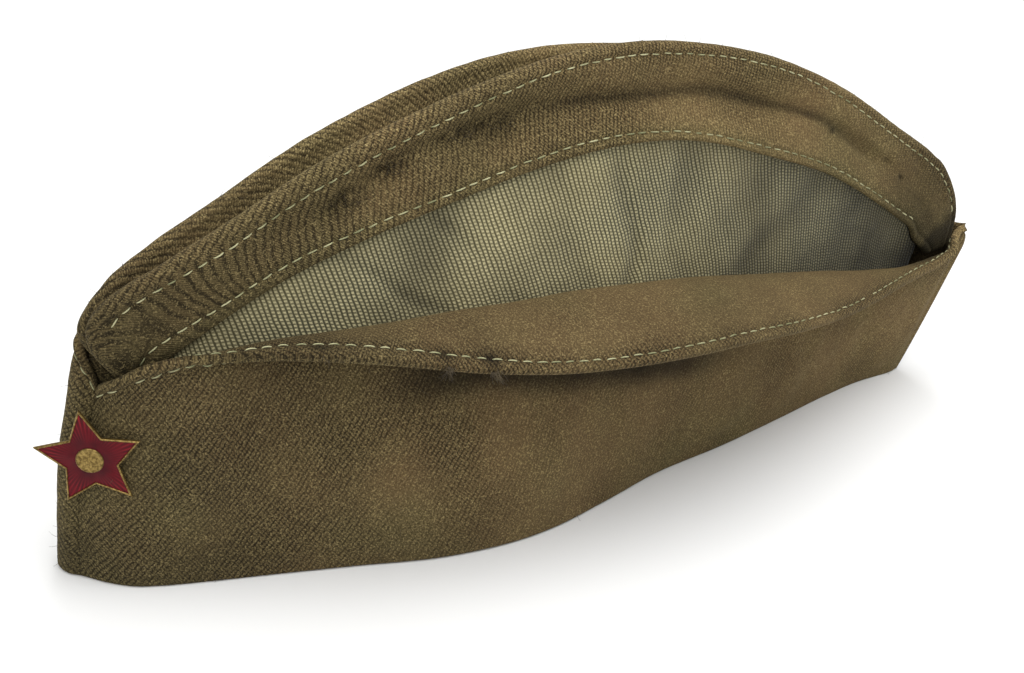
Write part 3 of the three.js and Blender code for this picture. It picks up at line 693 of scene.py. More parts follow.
def line_at(grid, up, distance):
    """Points of a grid at a distance up each column."""
    return np.stack([
        [np.interp(d, r, column[:, k]) for k in range(3)] for d, r, column in zip(distance, up, grid)
    ])


print("relief at one place:", round(float(noise(np.zeros((1, 3)), 10, 1)[0]), 2))

# %% [markdown]
# A twill is drawn from two distances walked over the cloth: across its diagonal ridges, the wales,
# and along them. A flat projection would stretch the weave wherever the cloth turns round the front.
# A second set of three numbers says how napped, how dark and how green the cloth is at each point.
# The dark is partly the cloth's own and partly painted shade and light.

# %% Weave, wear and painted shade of each place
SHADE_RANGE = (-0.9, 0.6)


def weave(grid, height, lean, anchor):
    """Millimetres across and along wales that lean over by an angle from upright.

    Columns behind the anchor are walked along one row, and those in front of it along each row."""
    angle = np.radians(lean)[:, None]
    step = np.linalg.norm(np.diff(grid, axis=0), axis=-1)
    level = np.linalg.norm(np.diff(grid[..., :2], axis=0), axis=-1)
    one_row = step[:, grid.shape[1] // 3, None] + 0 * step
    step = np.where(np.arange(len(step))[:, None] < anchor, level, one_row)
    half = (angle[1:] + angle[:-1]) / 2
    start = np.zeros((1, step.shape[1]))
    across = np.concatenate((start, np.cumsum(step * np.cos(half), axis=0)))
    along = np.concatenate((start, np.cumsum(step * np.sin(half), axis=0)))
    across, along = across - across[anchor], along - along[anchor]
    return points(across - height * np.sin(angle), along + height * np.cos(angle), 0 * height)


def wear(nap, shade, tone):
    """Nap, shade and tone of each point, held in range. The shade holds painted shade and light as well."""
    return points(np.clip(nap, 0, 1), np.clip(shade, *SHADE_RANGE), np.clip(tone, 0, 1))


print("worn point:", wear(0.5, -1.0, 0.2).tolist())

# %% [markdown]
# The outer and inner points of a piece become one closed mesh, which stands in for its plain solid.
# Faces between the two grids are plain quads, so the piece stays easy to edit.

# %% Mesh from two faces


def place_piece(name, verts, faces, material, slot_name):
    """Make a piece from points in millimetres, and fix it to the cap."""
    mesh = bpy.data.meshes.new(name)
    mesh.from_pydata(((np.asarray(verts) + SHIFT) / 1000).tolist(), [], faces)
    mesh.shade_smooth()
    mesh.materials.append(material)
    piece = bpy.data.objects.new(name, mesh)
    bpy.context.collection.objects.link(piece)
    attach(piece, BODY)
    print(name, "faces:", len(faces))
    return piece


def closed_mesh(node, outer, inner, side, cloth, finishes_and_painted_shades, material, slot_name):
    """Join an outer and an inner grid into one closed piece, and stand it in for its solid."""
    n, m = outer.shape[:2]
    ids = np.arange(n * m).reshape(n, m)
    a, b, c, d = ids[:-1, :-1], ids[1:, :-1], ids[1:, 1:], ids[:-1, 1:]
    front = np.stack((a, b, c, d), axis=-1).reshape(-1, 4)
    back = np.stack((d, c, b, a), axis=-1).reshape(-1, 4) + n * m
    rim = np.concatenate((ids[:, 0], ids[-1, 1:], ids[-2::-1, -1], ids[0, -2:0:-1]))
    following = np.roll(rim, -1)
    edge = np.stack((rim + n * m, following + n * m, following, rim), axis=-1)
    faces = np.concatenate((front, back, edge))
    if side == RIGHT:
        faces = faces[:, ::-1]
    verts = np.concatenate((outer.reshape(-1, 3), inner.reshape(-1, 3)))
    piece = place_piece(node + "_cloth", verts, faces.tolist(), material, slot_name)
    for label, both in (("cloth", (cloth, cloth)), ("finish_and_painted_shade", finishes_and_painted_shades)):
        layer = piece.data.attributes.new(label, "FLOAT_VECTOR", "POINT")
        layer.data.foreach_set("vector", np.concatenate(both).astype(np.float32).ravel())
    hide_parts(node)
    return piece


print("every piece rides on:", BODY)

# %% [markdown]
# Every sheet of cloth was cut flat before it was sewn. Its length is measured over the made surface,
# because cloth bends but hardly stretches.

# %% Flat sizes


def declare_cloth(outer):
    """Measure the longest row of a piece's outer face along the cap, in metres. The length is not kept."""
    length = float(lengths_up(outer.swapaxes(0, 1))[:, -1].max()) / 1000


print("sides to declare:", list(SIDE_NAMES.values()))

# %% [markdown]
# Wool twill: heathered olive-brown yarn, woven as a 2/2 twill, then fulled and worn.
# Its wales stand 1.2 mm apart. Where hands rub the cloth they show as ropes with dark gaps between,
# elsewhere the nap hides them. Real fibres are finer than a pixel of this view, so the speckle that stands
# for them is drawn at 0.45 mm. Sheen stands for loose fibre ends, which catch light at the edges.
# An image of twill would repeat and stretch. Waves over the two walked distances do neither.

# %% Wool twill
WALE_PITCH = 1.2
FLOAT_LENGTH = 0.72
SPECKLE = 0.45


def cloth_inputs(tree):
    """The weave's distances in mm, the three numbers of nap, shade with painted shade, and tone, and the
    place in mm.
    """
    layers = []
    for label in ("cloth", "finish_and_painted_shade"):
        layer = add(tree, "Attribute", (), "Vector", attribute_name=label)
        layers.append(add(tree, "SeparateXYZ", [layer]).node.outputs)
    place = add(tree, "TexCoord", (), "Object")
    in_mm = add(tree, "VectorMath", [place, (1000, 1000, 1000)], operation="MULTIPLY")
    return *layers, in_mm


def shaded_by(tree, colour, blotch, amount, shade, least):
    """A colour made lighter or darker by the shade number, which holds painted shade and light besides the
    cloth's own, and by broad blotches.
    """
    raised_shade = add(tree, "Math", [shade, least])
    level = add(tree, "Math", [blotch, amount, raised_shade], operation="MULTIPLY_ADD")
    grey = add(tree, "CombineXYZ", [level, level, level])
    return add(tree, "Mix", {FACTOR: 1.0, FIRST: colour, SECOND: grey}, MIXED,
               data_type="RGBA", blend_type="MULTIPLY")


def fulled_wool(name, brown, olive, pale, dark):
    """Fulled wool twill with its wales, nap and heather."""
    material, tree = new_material(name)
    where, state, place = cloth_inputs(tree)
    # A noise scale is in lumps per millimetre: here fibres, then fuzz of 1.2 mm, a sway of 3.3 mm and
    # blotches of 17 mm.
    speckle = add(tree, "TexNoise", {"Vector": place, "Scale": 1 / SPECKLE, "Detail": 3.0, "Roughness": 0.7})
    fuzz = add(tree, "TexNoise", {"Vector": place, "Scale": 0.85, "Detail": 3.0, "Roughness": 0.65})
    sway = add(tree, "TexNoise", {"Vector": place, "Scale": 0.3, "Detail": 2.0})
    blotch = add(tree, "TexNoise", {"Vector": place, "Scale": 0.06, "Detail": 3.0})

    # Across the wales: a wave that wanders a little, with edges broken by single fibres.
    moved = add(tree, "Math", [sway, 0.9, where["X"]], operation="MULTIPLY_ADD")
    frayed = add(tree, "Math", [speckle, 0.12, moved], operation="MULTIPLY_ADD")
    phase = add(tree, "Math", [frayed, 2 * math.pi / WALE_PITCH], operation="MULTIPLY")
    wave = add(tree, "Math", [phase], operation="SINE")
    wale = add(tree, "Math", [wave, 0.5, 0.5], operation="MULTIPLY_ADD")
    # Along them: the yarn's floats, each wale half a turn after the one before.
    slanted = add(tree, "Math", [phase, 0.5], operation="MULTIPLY")
    run = add(tree, "Math", [where["Y"], 2 * math.pi / FLOAT_LENGTH, slanted], operation="MULTIPLY_ADD")
    loose = add(tree, "Math", [fuzz, 1.0, run], operation="MULTIPLY_ADD")
    twist = add(tree, "Math", [loose], operation="SINE")
    ply = add(tree, "Math", [twist, 0.42, 0.58], operation="MULTIPLY_ADD")
    yarn = add(tree, "Math", [wale, ply], operation="MULTIPLY")

    # Nap hides the weave. Where it is worn off, the gaps between the wales are clear and dark.
    napped = add(tree, "Math", [fuzz, 0.9, state["X"]], operation="MULTIPLY_ADD")
    clear = add(tree, "MapRange", [napped, 0.45, 1.35, 1.0, 0.22])
    tint = add(tree, "Math", [blotch, 1.2, state["Z"]], operation="MULTIPLY_ADD")
    greened = add(tree, "MapRange", [tint, 0.6, 1.5, 0.0, 1.0])
    base = add(tree, "Mix", {FACTOR: greened, FIRST: linear(brown), SECOND: linear(olive)}, MIXED,
               data_type="RGBA")
    hollow = add(tree, "MapRange", [yarn, 0.05, 0.5, 0.88, 0.0])
    gap = add(tree, "Math", [hollow, clear], operation="MULTIPLY")
    woven = add(tree, "Mix", {FACTOR: gap, FIRST: base, SECOND: linear(dark)}, MIXED, data_type="RGBA")

    # Heather: fibres that lie deep are dark, and those that stand up are pale.
    sunk = add(tree, "MapRange", [speckle, 0.28, 0.50, 0.46, 0.0])
    dimmed = add(tree, "Mix", {FACTOR: sunk, FIRST: woven, SECOND: linear(dark)}, MIXED, data_type="RGBA")
    raised = add(tree, "MapRange", [speckle, 0.52, 0.76, 0.0, 0.8])
    flecked = add(tree, "Mix", {FACTOR: raised, FIRST: dimmed, SECOND: linear(pale)}, MIXED,
                  data_type="RGBA")
    # The shade number lightens or darkens it, with painted shade and light in it as well as wear.
    colour = shaded_by(tree, flecked, blotch, 0.5, state["Y"], 0.75)

    # Relief: the wales as ropes where they are clear, with fibres and fuzz on top.
    bare = add(tree, "Math", [yarn, clear], operation="MULTIPLY")
    ropes = add(tree, "Math", [bare, 0.7], operation="MULTIPLY")
    relief = add(tree, "Math", [speckle, 0.6, ropes], operation="MULTIPLY_ADD")
    soft_relief = add(tree, "Math", [fuzz, 0.4, relief], operation="MULTIPLY_ADD")
    bump = add(tree, "Bump", {"Height": soft_relief, "Strength": 0.8, "Distance": 0.00045})
    shader = add(tree, "BsdfPrincipled", {
        "Base Color": colour, "Normal": bump, "Roughness": 0.92, "Specular IOR Level": 0.15,
        "Sheen Weight": 0.18, "Sheen Roughness": 0.45, "Sheen Tint": linear("#a3946a"),
    })
    add(tree, "OutputMaterial", {"Surface": shader})
    print(name, "nodes:", len(tree.nodes))
    return material


wool = fulled_wool("fulled_wool_twill", "#695639", "#5d5335", "#b3a06f", "#1b150a")

# %% [markdown]
# Cotton twill: a lighter khaki, with hard smooth yarns and no nap. Pale floats stand in upright rows
# 1.18 mm apart over dark gaps, and each row is crossed by the weft every 0.9 mm, which gives a ladder look.
# Two waves multiplied draw it. Each row starts its floats at a place of its own, by chance, because
# a regular start would show as a grid. Toward the back the cotton is drawn greyer, and darker as painted
# shade of the pocket behind the flap.

# %% Cotton twill
COTTON_PITCH = 1.18
PICK_SPACING = 0.90


def cotton_twill(name, fresh, grey_green, pale, dark):
    """Steep cotton twill with pale floats."""
    material, tree = new_material(name)
    where, state, place = cloth_inputs(tree)
    # Noise in lumps per millimetre: a sway of 5 mm, fibres of 0.4 mm and worn places of 12 mm.
    sway = add(tree, "TexNoise", {"Vector": place, "Scale": 0.2, "Detail": 1.0})
    fibre = add(tree, "TexNoise", {"Vector": place, "Scale": 2.4, "Detail": 3.0, "Roughness": 0.7})
    worn = add(tree, "TexNoise", {"Vector": place, "Scale": 0.08, "Detail": 4.0})

    # Across the rows: a wave from float to gap, a little uneven.
    moved = add(tree, "Math", [sway, 0.6, where["X"]], operation="MULTIPLY_ADD")
    rough = add(tree, "Math", [fibre, 0.25, moved], operation="MULTIPLY_ADD")
    phase = add(tree, "Math", [rough, 2 * math.pi / COTTON_PITCH], operation="MULTIPLY")
    row_wave = add(tree, "Math", [phase], operation="SINE")
    row = add(tree, "Math", [row_wave, 0.5, 0.5], operation="MULTIPLY_ADD")
    # Each row's number gives its chance start, and then the wave along it makes the floats.
    turn = add(tree, "Math", [phase, 0.5 / math.pi, 0.25], operation="MULTIPLY_ADD")
    number = add(tree, "Math", [turn], operation="FLOOR")
    chance = add(tree, "TexWhiteNoise", {"W": number}, noise_dimensions="1D")
    slanted = add(tree, "Math", [phase, 0.45], operation="MULTIPLY")
    shifted = add(tree, "Math", [chance, 2 * math.pi, slanted], operation="MULTIPLY_ADD")
    pick = add(tree, "Math", [where["Y"], 2 * math.pi / PICK_SPACING, shifted], operation="MULTIPLY_ADD")
    uneven = add(tree, "Math", [fibre, 1.6, pick], operation="MULTIPLY_ADD")
    rung_wave = add(tree, "Math", [uneven], operation="SINE")
    rung = add(tree, "Math", [rung_wave, 0.5, 0.5], operation="MULTIPLY_ADD")
    float_width = add(tree, "MapRange", [row, 0.12, 0.62, 0.0, 1.0])
    float_length = add(tree, "MapRange", [rung, 0.1, 0.7, 0.25, 1.0])
    lit = add(tree, "Math", [float_width, float_length], operation="MULTIPLY")

    # Colour: fresh or greyed cotton, dark gaps between the rows, and pale floats on top.
    aged = add(tree, "Math", [worn, 0.8, state["Z"]], operation="MULTIPLY_ADD")
    greyed = add(tree, "MapRange", [aged, 0.5, 1.2, 0.0, 1.0])
    base = add(tree, "Mix", {FACTOR: greyed, FIRST: linear(fresh), SECOND: linear(grey_green)}, MIXED,
               data_type="RGBA")
    gap = add(tree, "MapRange", [row, 0.05, 0.38, 0.6, 0.0])
    gapped = add(tree, "Mix", {FACTOR: gap, FIRST: base, SECOND: linear(dark)}, MIXED, data_type="RGBA")
    fuzzed = add(tree, "MapRange", [fibre, 0.3, 0.65, 0.45, 1.0])
    strong = add(tree, "Math", [lit, fuzzed], operation="MULTIPLY")
    floated = add(tree, "Mix", {FACTOR: strong, FIRST: gapped, SECOND: linear(pale)}, MIXED,
                  data_type="RGBA")
    # The shade number darkens it, with the painted shade of the folds, of the low wall and of the pocket.
    colour = shaded_by(tree, floated, worn, 0.7, state["Y"], 0.65)

    relief = add(tree, "Math", [fibre, 0.3, lit], operation="MULTIPLY_ADD")
    bump = add(tree, "Bump", {"Height": relief, "Strength": 0.7, "Distance": 0.00035})
    shader = add(tree, "BsdfPrincipled", {
        "Base Color": colour, "Normal": bump, "Roughness": 0.85, "Specular IOR Level": 0.25,
        "Sheen Weight": 0.1,
    })
    add(tree, "OutputMaterial", {"Surface": shader})
    print(name, "nodes:", len(tree.nodes))
    return material


cotton = cotton_twill("khaki_cotton_twill", "#6f6848", "#53533e", "#beb48b", "#2c2919")

# %% [markdown]
# The crown. Two wool panels, folded along the ridge, with a valley between them.
# At the front the near panel rolls down into the notch and tucks in behind the far flap,
# so the sheet goes on past its solid's end there. The far panel's front follows the real outline at the
# nose, where it stands a little in front of its solid or behind it.

# %% Crown's sheet
ROLL_START = 0.018  # place where the near panel's front ends, in the notch
ROLL_PULL = 0.25  # share of the way at which the roll's curve turns in
TUCK_START, TUCK_SPREAD = 0.004, 0.050  # places where it lies behind the far flap, from low to high
# Columns: height in mm, millimetres the far panel's front stands behind its solid's
FAR_FRONT = [(56, 0), (60, -0.4), (63, -0.5), (66, 0.2), (69, 1.2), (72, 1.8), (75, 1.5), (84, 0)]
FAR_SHIFT = tracks(("back",), FAR_FRONT)["back"]


def crown_sheet(side, s, t):
    """The crown with its front rolled into the notch behind the far flap."""
    start = CROWN_SPAN[0]
    held = np.maximum(s, start)
    panel = crown_face(side, held, t)
    if side == RIGHT:
        back = FAR_SHIFT(np.clip(panel[..., 2], FAR_FRONT[0][0], FAR_FRONT[-1][0]))
        panel[..., 0] += back * (1 - smooth(s, 0.108, 0.15)) * smooth(t, 0.6, 1.1)
        return panel
    share = np.clip((start - s) / (start - ROLL_START), 0, 1)
    climb = np.clip(t, 0, 1.5) / 1.5
    tucked = TUCK_START + TUCK_SPREAD * climb
    inside = closed_face(RIGHT, tucked, 0 * s + 1.1)
    inside = inside - normal_of(wall_face, RIGHT, tucked, 0 * s + 1.02, FULL_SPAN) * (FLAP * 0.5)
    inside[..., 2] += 1.5 * climb - 2.5 * (1 - climb)
    onward = panel - crown_face(side, held + 0.012, t)
    reach = np.linalg.norm(inside - panel, axis=-1, keepdims=True)
    control = panel + unit(onward) * reach * ROLL_PULL
    k = share[..., None]
    rolled = panel * (1 - k) ** 2 + control * 2 * k * (1 - k) + inside * k ** 2
    return np.where((s < start)[..., None], rolled, panel)


front = crown_sheet(LEFT, np.array([ROLL_START]), np.array([0.5]))
print("front of the crown, mm:", front.round(1).tolist())

# %% [markdown]
# Each panel is topstitched below the ridge, and again above its turned lower edge.
# Thread pulls cloth in, so a groove runs under each row of stitches with small puckers beside it.
# A long crease lies along the band, where the cap has been folded flat for storage, and moths and wear
# have left rough spots near it. A bump map would shade all this without its shadows, so the points of
# the mesh are moved. The same curves say where the cloth is rubbed, napped or dark.

# %% Stitch lines, crease and worn spots of the crown
# Columns: at, ridge stitches below the side of the fold in mm, edge stitches above the edge in mm,
# crease as a share of the band
CROWN_LINE = [
    (0.015, 3.4, 7.0, 0.45),
    (0.045, 3.2, 7.0, 0.45),
    (0.070, 2.9, 6.8, 0.45),
    (0.100, 2.6, 5.2, 0.45),
    (0.136, 2.4, 3.8, 0.46),
    (0.185, 1.9, 3.2, 0.54),
    (0.225, 1.8, 2.7, 0.56),
    (0.270, 1.6, 2.4, 0.66),
    (0.340, 1.1, 2.4, 0.62),
    (0.400, 0.5, 2.7, 0.58),
    (0.500, 0.3, 2.5, 0.55),
    (0.610, -0.2, 2.1, 0.58),
    (0.710, -0.2, 2.5, 0.60),
    (0.820, 0.6, 2.2, 0.59),
    (0.900, 0.8, 2.2, 0.58),
    (0.975, 0.8, 3.0, 0.56),
]
CREASE_DEPTH = 1.7
GROOVE_DEPTH = 0.34
# Columns: at, millimetres up the band, half length, half height, roughness in mm, or a dent below zero
WORN_SPOTS = [
    (0.226, 10.4, 5.0, 2.6, 1.0),
    (0.268, 13.4, 4.5, 2.4, 0.8),
    (0.327, 14.6, 4.5, 2.2, 0.8),
    (0.362, 12.6, 7.0, 2.6, 0.7),
    (0.768, 12.0, 2.2, 1.2, 0.25),
    (0.862, 12.5, 1.0, 0.8, -0.7),
    (0.888, 10.5, 0.9, 0.7, -0.6),
]
CROWN_COLUMNS = 320
BAND_ROWS, PLEAT_ROWS = 16, 41  # even rows in the middle of the band, and from its top into the valley
CROWN_MIDDLE = 3.0  # millimetres kept between the rows of its two edges
CROWN_LEVEL = 88.0  # height in mm about which the wales lean
CROWN_PLACES = places_along(CROWN_COLUMNS, ROLL_START, CROWN_SPAN[1])
LINES = tracks(("ridge", "edge", "crease"), CROWN_LINE)
print("lower stitches above the edge half way along, mm:", round(float(LINES["edge"](0.5)), 1))

# %% [markdown]
# The crown's relief. Each line of stitches sinks in its groove, the turned edge swells below it, and the
# crease and the worn spots are added on top. Rows of points lie close together where the form is fine.

# %% Relief of the crown


def crown_rows(side, s):
    """Rows of the crown, close together near its stitches, and the length of its band."""
    low = np.concatenate((NEAR_EDGE[:6], np.arange(2.2, 8.0, 0.45)))
    high = np.array([-1.6, -1.0, -0.5, 0, 0.5, 1.0, 1.5, 2.0, 2.5, 3.0, 3.6, 4.3, 5.2])
    band = np.linalg.norm(crown_sheet(side, s, 0 * s) - crown_sheet(side, s, 0 * s + 1), axis=-1)
    share = np.minimum(1, band / (low[-1] + high[-1] + CROWN_MIDDLE))[:, None]
    mid = np.linspace(0, 1, BAND_ROWS + 2)[1:-1]
    over = np.linspace(0, 1, PLEAT_ROWS + 1)[1:]

    def rows(total):
        start, end = low[-1] * share, band[:, None] - high[-1] * share
        top = band[:, None] - high[::-1] * share
        beyond = top[:, -1:] + (total[:, None] - top[:, -1:]) * over
        return np.concatenate((low * share, start + (end - start) * mid, top, beyond), axis=1)

    return rows, band[:, None]


def crown_relief(side, grid, up, band, place, lines):
    """How far the cloth stands out in mm, how worn it is, and how high its crease runs."""
    ridge_line, edge_line, crease_share = lines
    from_ridge = band - up
    on_band = smooth(from_ridge, 0.5, 3)
    ends = smooth(place, 0.05, 0.12) * smooth(1 - place, 0.03, 0.09)
    # Grooves under the stitches, puckers beside them, and the swell of the turned lower edge.
    lift = -GROOVE_DEPTH * bump_at(from_ridge, ridge_line, 0.7)
    lift -= GROOVE_DEPTH * bump_at(up, edge_line, 0.65)
    below = smooth(from_ridge, ridge_line - 0.5, ridge_line + 1.5)
    beside = below * bump_at(from_ridge, ridge_line, 4.0) + 0.4 * bump_at(up, edge_line, 2.2)
    lift += 0.20 * noise(grid * (1, 0.2, 0.35), 4.2, 11 + side) * beside
    lift += 0.22 * bump_at(up, edge_line / 2, 1.3)
    # The long crease, wider at the front, and the soft unevenness of old cloth.
    crease = crease_share * band + 0.7 * noise(grid, 40, 5)
    depth = CREASE_DEPTH * smooth(place, 0.14, 0.24) * smooth(0.93 - place, 0, 0.12)
    depth = depth * (1 + 0.3 * noise(grid, 26, 6))
    wide = 3.4 - 1.5 * smooth(place, 0.3, 0.5)
    lift -= depth * bump_at(up, crease, wide) * on_band
    lift += 0.45 * noise(grid, 26, 8) * on_band * ends * smooth(up, 4, 9)
    lift += 0.04 * noise(grid, 5, 9) * ends
    worn = 0 * up
    for at, height, half_long, half_high, rough in WORN_SPOTS if side == LEFT else ():
        spot = bump_at((place - at) * RIM_LENGTH, 0, half_long) * bump_at(up, height, half_high)
        tuft = noise(grid, 2.2, 17) if rough > 0 else 1 + 0 * up
        lift += spot * rough * tuft
        worn = np.maximum(worn, spot)
    return lift, worn, crease


print("depth of a groove and of the crease, mm:", GROOVE_DEPTH, CREASE_DEPTH)

# %% [markdown]
# The crown's finish. It could be painted by hand, but then it would not follow when a length changes.
# So the same curves set three numbers at each point: how much nap is left, how dark the wool is
# and how green. The dark also holds painted shade in the crease and at the tail, and painted light on
# the far panel.

# %% Finish and painted shade of the crown


def crown_wear_and_painted_shade(side, grid, up, band, place, lines, worn, crease):
    """Nap, shade and tone of the crown, the shade with painted shade and light in it."""
    ridge_line, edge_line, _ = lines
    from_ridge = band - up
    on_band = smooth(from_ridge, 0.5, 3)
    # Hands rub the cloth under the ridge, and its nap has lasted best toward the back.
    rubbed = bump_at(from_ridge, ridge_line - 2, 4)
    nap = 0.15 + 0.55 * smooth(place, 0.35, 0.75) - 0.5 * rubbed + 0.25 * noise(grid, 30, 12)
    nap -= 0.4 * worn
    # Lighter where it is rubbed, darker along the lower stitches and in the worn spots, and painted shade in
    # the crease.
    crease_painted_shade = bump_at(up, crease - 0.3, 1.4) * smooth(place, 0.36, 0.46) * smooth(0.84 - place, 0, 0.1)
    shade = 0.08 * rubbed + 0.06 * noise(grid, 24, 13) - 0.12 * bump_at(up, edge_line, 0.9)
    shade -= 0.72 * crease_painted_shade + 0.45 * worn * (1 + 0.5 * noise(grid, 2.2, 18))
    # Darker at both ends, and below the crease toward the back.
    shade -= 0.28 * (1 - smooth(place, 0.05, 0.22))
    shade += 0.12 * smooth(place, 0.3, 0.55) * on_band * smooth(0.86 - place, 0, 0.2)
    shade -= 0.30 * smooth(place, 0.78, 0.92) * smooth(crease + 2 - up, 0, 6)
    shade -= 0.24 * smooth(place, 0.84, 0.96) + 0.20 * smooth(place, 0.84, 0.9)
    # Painted shadow on the very tail, where the crown goes down into the dark pocket of the flap.
    shade -= 0.6 * smooth(place, 0.956, 0.968)
    # Both panels lighter past the front, and the far one more, as on the real one: on it this is painted
    # light, falling from above on its top.
    shade += (0.17 if side == LEFT else 0.36) * smooth(place, 0.1, 0.25)
    # Greener near the lower edge, at the front and toward the back.
    tone = 0.25 + 0.4 * bump_at(up, 2.0, 2.5) + 0.35 * bump_at(place, 0.06, 0.12)
    tone += 0.2 * noise(grid, 40, 14) + 0.25 * smooth(place, 0.6, 0.85)
    return wear(nap, shade, tone)


print("worn spots on the near side:", len(WORN_SPOTS))

# %% [markdown]
# Now the two halves of the crown can be made. The sheet gives the middle of the wool, the relief moves its
# outer face, and the inner face follows only the hollows, so that the wool never gets too thin.

# %% Crown


def make_crown(side):
    """One half of the crown, with its two lines for stitches."""
    s = places_along(CROWN_COLUMNS, ROLL_START if side == LEFT else CROWN_SPAN[0], CROWN_SPAN[1])
    rows, band = crown_rows(side, s)
    grid, up = sample(crown_sheet, side, s, 3, rows)
    normal = grid_normals(grid, side)
    place = s[:, None] + 0 * up
    lines = [LINES[name](s)[:, None] for name in ("ridge", "edge", "crease")]
    lift, worn, crease = crown_relief(side, grid, up, band, place, lines)
    edge = round_edge(np.minimum(up, up[:, -1:] - up), WOOL)
    from_end = lengths_up(grid[:, 8][None])[0][:, None]
    edge = edge * round_edge(np.minimum(from_end, from_end[-1] - from_end) + 0.05, WOOL)
    middle = grid - normal * WOOL / 2
    outer = middle + normal * (WOOL / 2 * edge + lift * smooth(up, 0, 0.8))[..., None]
    inner = middle - normal * (WOOL / 2 * edge - np.minimum(lift, 0))[..., None]
    finish_and_painted_shade = crown_wear_and_painted_shade(side, grid, up, band, place, lines, worn, crease)
    # Above the fold the weave goes on from the top of the band.
    top_row = np.argmax(up > band, axis=1)
    top_height = grid[np.arange(len(s)), top_row, 2][:, None]
    height = np.where(up <= band, grid[..., 2], top_height + up - band) - CROWN_LEVEL
    cloth = weave(grid, height, 40 - 50 * smooth(s, 0.06, 0.88), int(np.searchsorted(s, 0.1)))
    name = "crown_" + SIDE_NAMES[side]
    piece = closed_mesh(name, outer, inner, side, cloth, (finish_and_painted_shade, finish_and_painted_shade), wool, "wool")
    heights = {"ridge": (band - lines[0])[:, 0], "edge": lines[1][:, 0]}
    paths = {key: [line_at(g, up, height) for g in (outer, normal)] for key, height in heights.items()}
    return piece, outer, paths


crowns = {side: make_crown(side) for side in (LEFT, RIGHT)}

# %% [markdown]
# The lower wall. One layer of cotton, sewn behind the crown's lower edge and running down inside the flaps.
# It carries no weight, so it hangs in soft folds. A cloth simulation would move its seams,
# so the folds are drawn where they lie on the real one: an upright hollow with a ridge beside it
# at the middle, slanting folds nearer the front, and two wide ones behind that slant the other way.

# %% Lower wall
COTTON_COLUMNS = 300
COTTON_ROWS = 62
COTTON_LEVEL = 80.0  # height in mm about which the rows lean
# Columns: millimetres behind the front seam, slope, half width, depth, lowest and highest share
COTTON_FOLDS = [
    (134.0, 0.12, 4.0, 1.1, 0.45, 1.0),
    (143.0, 0.12, 4.0, -0.8, 0.45, 1.0),
    (88.0, 1.30, 2.6, 0.6, 0.45, 0.9),
    (118.0, 0.50, 4.0, 0.3, 0.45, 0.9),
    (176.0, -1.10, 8.0, 0.4, 0.45, 1.0),
    (205.0, -1.30, 9.0, 0.5, 0.45, 1.0),
    (60.0, 1.60, 2.6, 0.6, 0.45, 1.0),
]


def make_lower_wall(side):
    """One half of the cotton wall."""
    s = places_along(COTTON_COLUMNS, *COTTON_SPAN)
    grid, up = sample(cotton_face, side, s, 1, edged_rows(NEAR_EDGE[:6], NEAR_EDGE[:6], COTTON_ROWS))
    normal = grid_normals(grid, side)
    place = s[:, None] + 0 * up
    share = up / up[:, -1:]
    free = smooth(share, 0.45, 0.62) * smooth(1 - share, 0.02, 0.14)
    folds = 0.5 * noise(grid * (1, 0.2, 0.16), 19, 21 + side)
    for at, slope, half, depth, low, high in COTTON_FOLDS:
        wander = 3 * noise(grid, 24, 25)
        line = bump_at(grid[..., 0] + slope * (grid[..., 2] - 75) + wander, at, half)
        folds -= depth * line * smooth(share, low, low + 0.15) * smooth(high + 0.1 - share, 0, 0.1)
    lift = (np.minimum(folds, 0.15) - 0.15) * free + 0.06 * noise(grid, 6, 22) * free
    edge = round_edge(np.minimum(up, up[:, -1:] - up), COTTON)
    middle = grid - normal * COTTON / 2
    outer = middle + normal * (COTTON / 2 * edge + lift)[..., None]
    inner = middle - normal * (COTTON / 2 * edge - lift)[..., None]
    for face in (outer, inner):
        face[..., 2] = np.maximum(face[..., 2], CLEARANCE)
    # Painted shade: darker low down behind the flap, in the hollows of the folds, and toward the back, in
    # the pocket between wall and flap.
    shade = 0.05 * noise(grid, 20, 23) - 0.30 * smooth(0.56 - share, 0, 0.2)
    shade += 0.35 * np.minimum(folds, 0) * free + 0.02
    shade -= 0.44 * smooth(place, 0.5, 0.8) + 0.14 * smooth(place, 0.8, 0.9) + 0.3 * smooth(place, 0.9, 0.96)
    tone = 0.2 + 0.5 * smooth(place, 0.5, 0.8) + 0.25 * noise(grid, 28, 24)
    cloth = weave(grid, grid[..., 2] - COTTON_LEVEL, -21 + 17 * smooth(s, 0.55, 0.85), 0)
    finish_and_painted_shade = wear(0 * shade, shade, tone)
    name = "lower_wall_" + SIDE_NAMES[side]
    piece = closed_mesh(name, outer, inner, side, cloth, (finish_and_painted_shade, finish_and_painted_shade), cotton, "cotton")
    return piece, outer


walls = {side: make_lower_wall(side) for side in (LEFT, RIGHT)}

# %% [markdown]
# The flaps. Each is two layers of wool with its edges turned in and topstitched, so it is thicker than
# the crown. The near one has fallen open like a lapel and shows its inner face, the far one lies closed.
# Long soft swells come from years of folding and pressing. The cloth that the lip hangs over is given
# a painted shadow of the lip, on top of its real one, down to a line taken along the flap.

# %% Stitch lines and tufts of the flaps
FLAP_COLUMNS = 360
FLAP_ROWS = 58
FLAP_LEVEL = 30.0  # millimetres up the flap about which the wales lean
SEAM_LENGTH = 310.0
# Columns: at, stitches below the edge in mm
FLAP_LINE = [
    (0, 2.7), (0.035, 3.0), (0.055, 2.5), (0.078, 1.2), (0.10, 1.6), (0.13, 3.6), (0.25, 3.9), (0.33, 2.9),
    (0.6, 2.7), (0.8, 2.3), (1, 2.0),
]
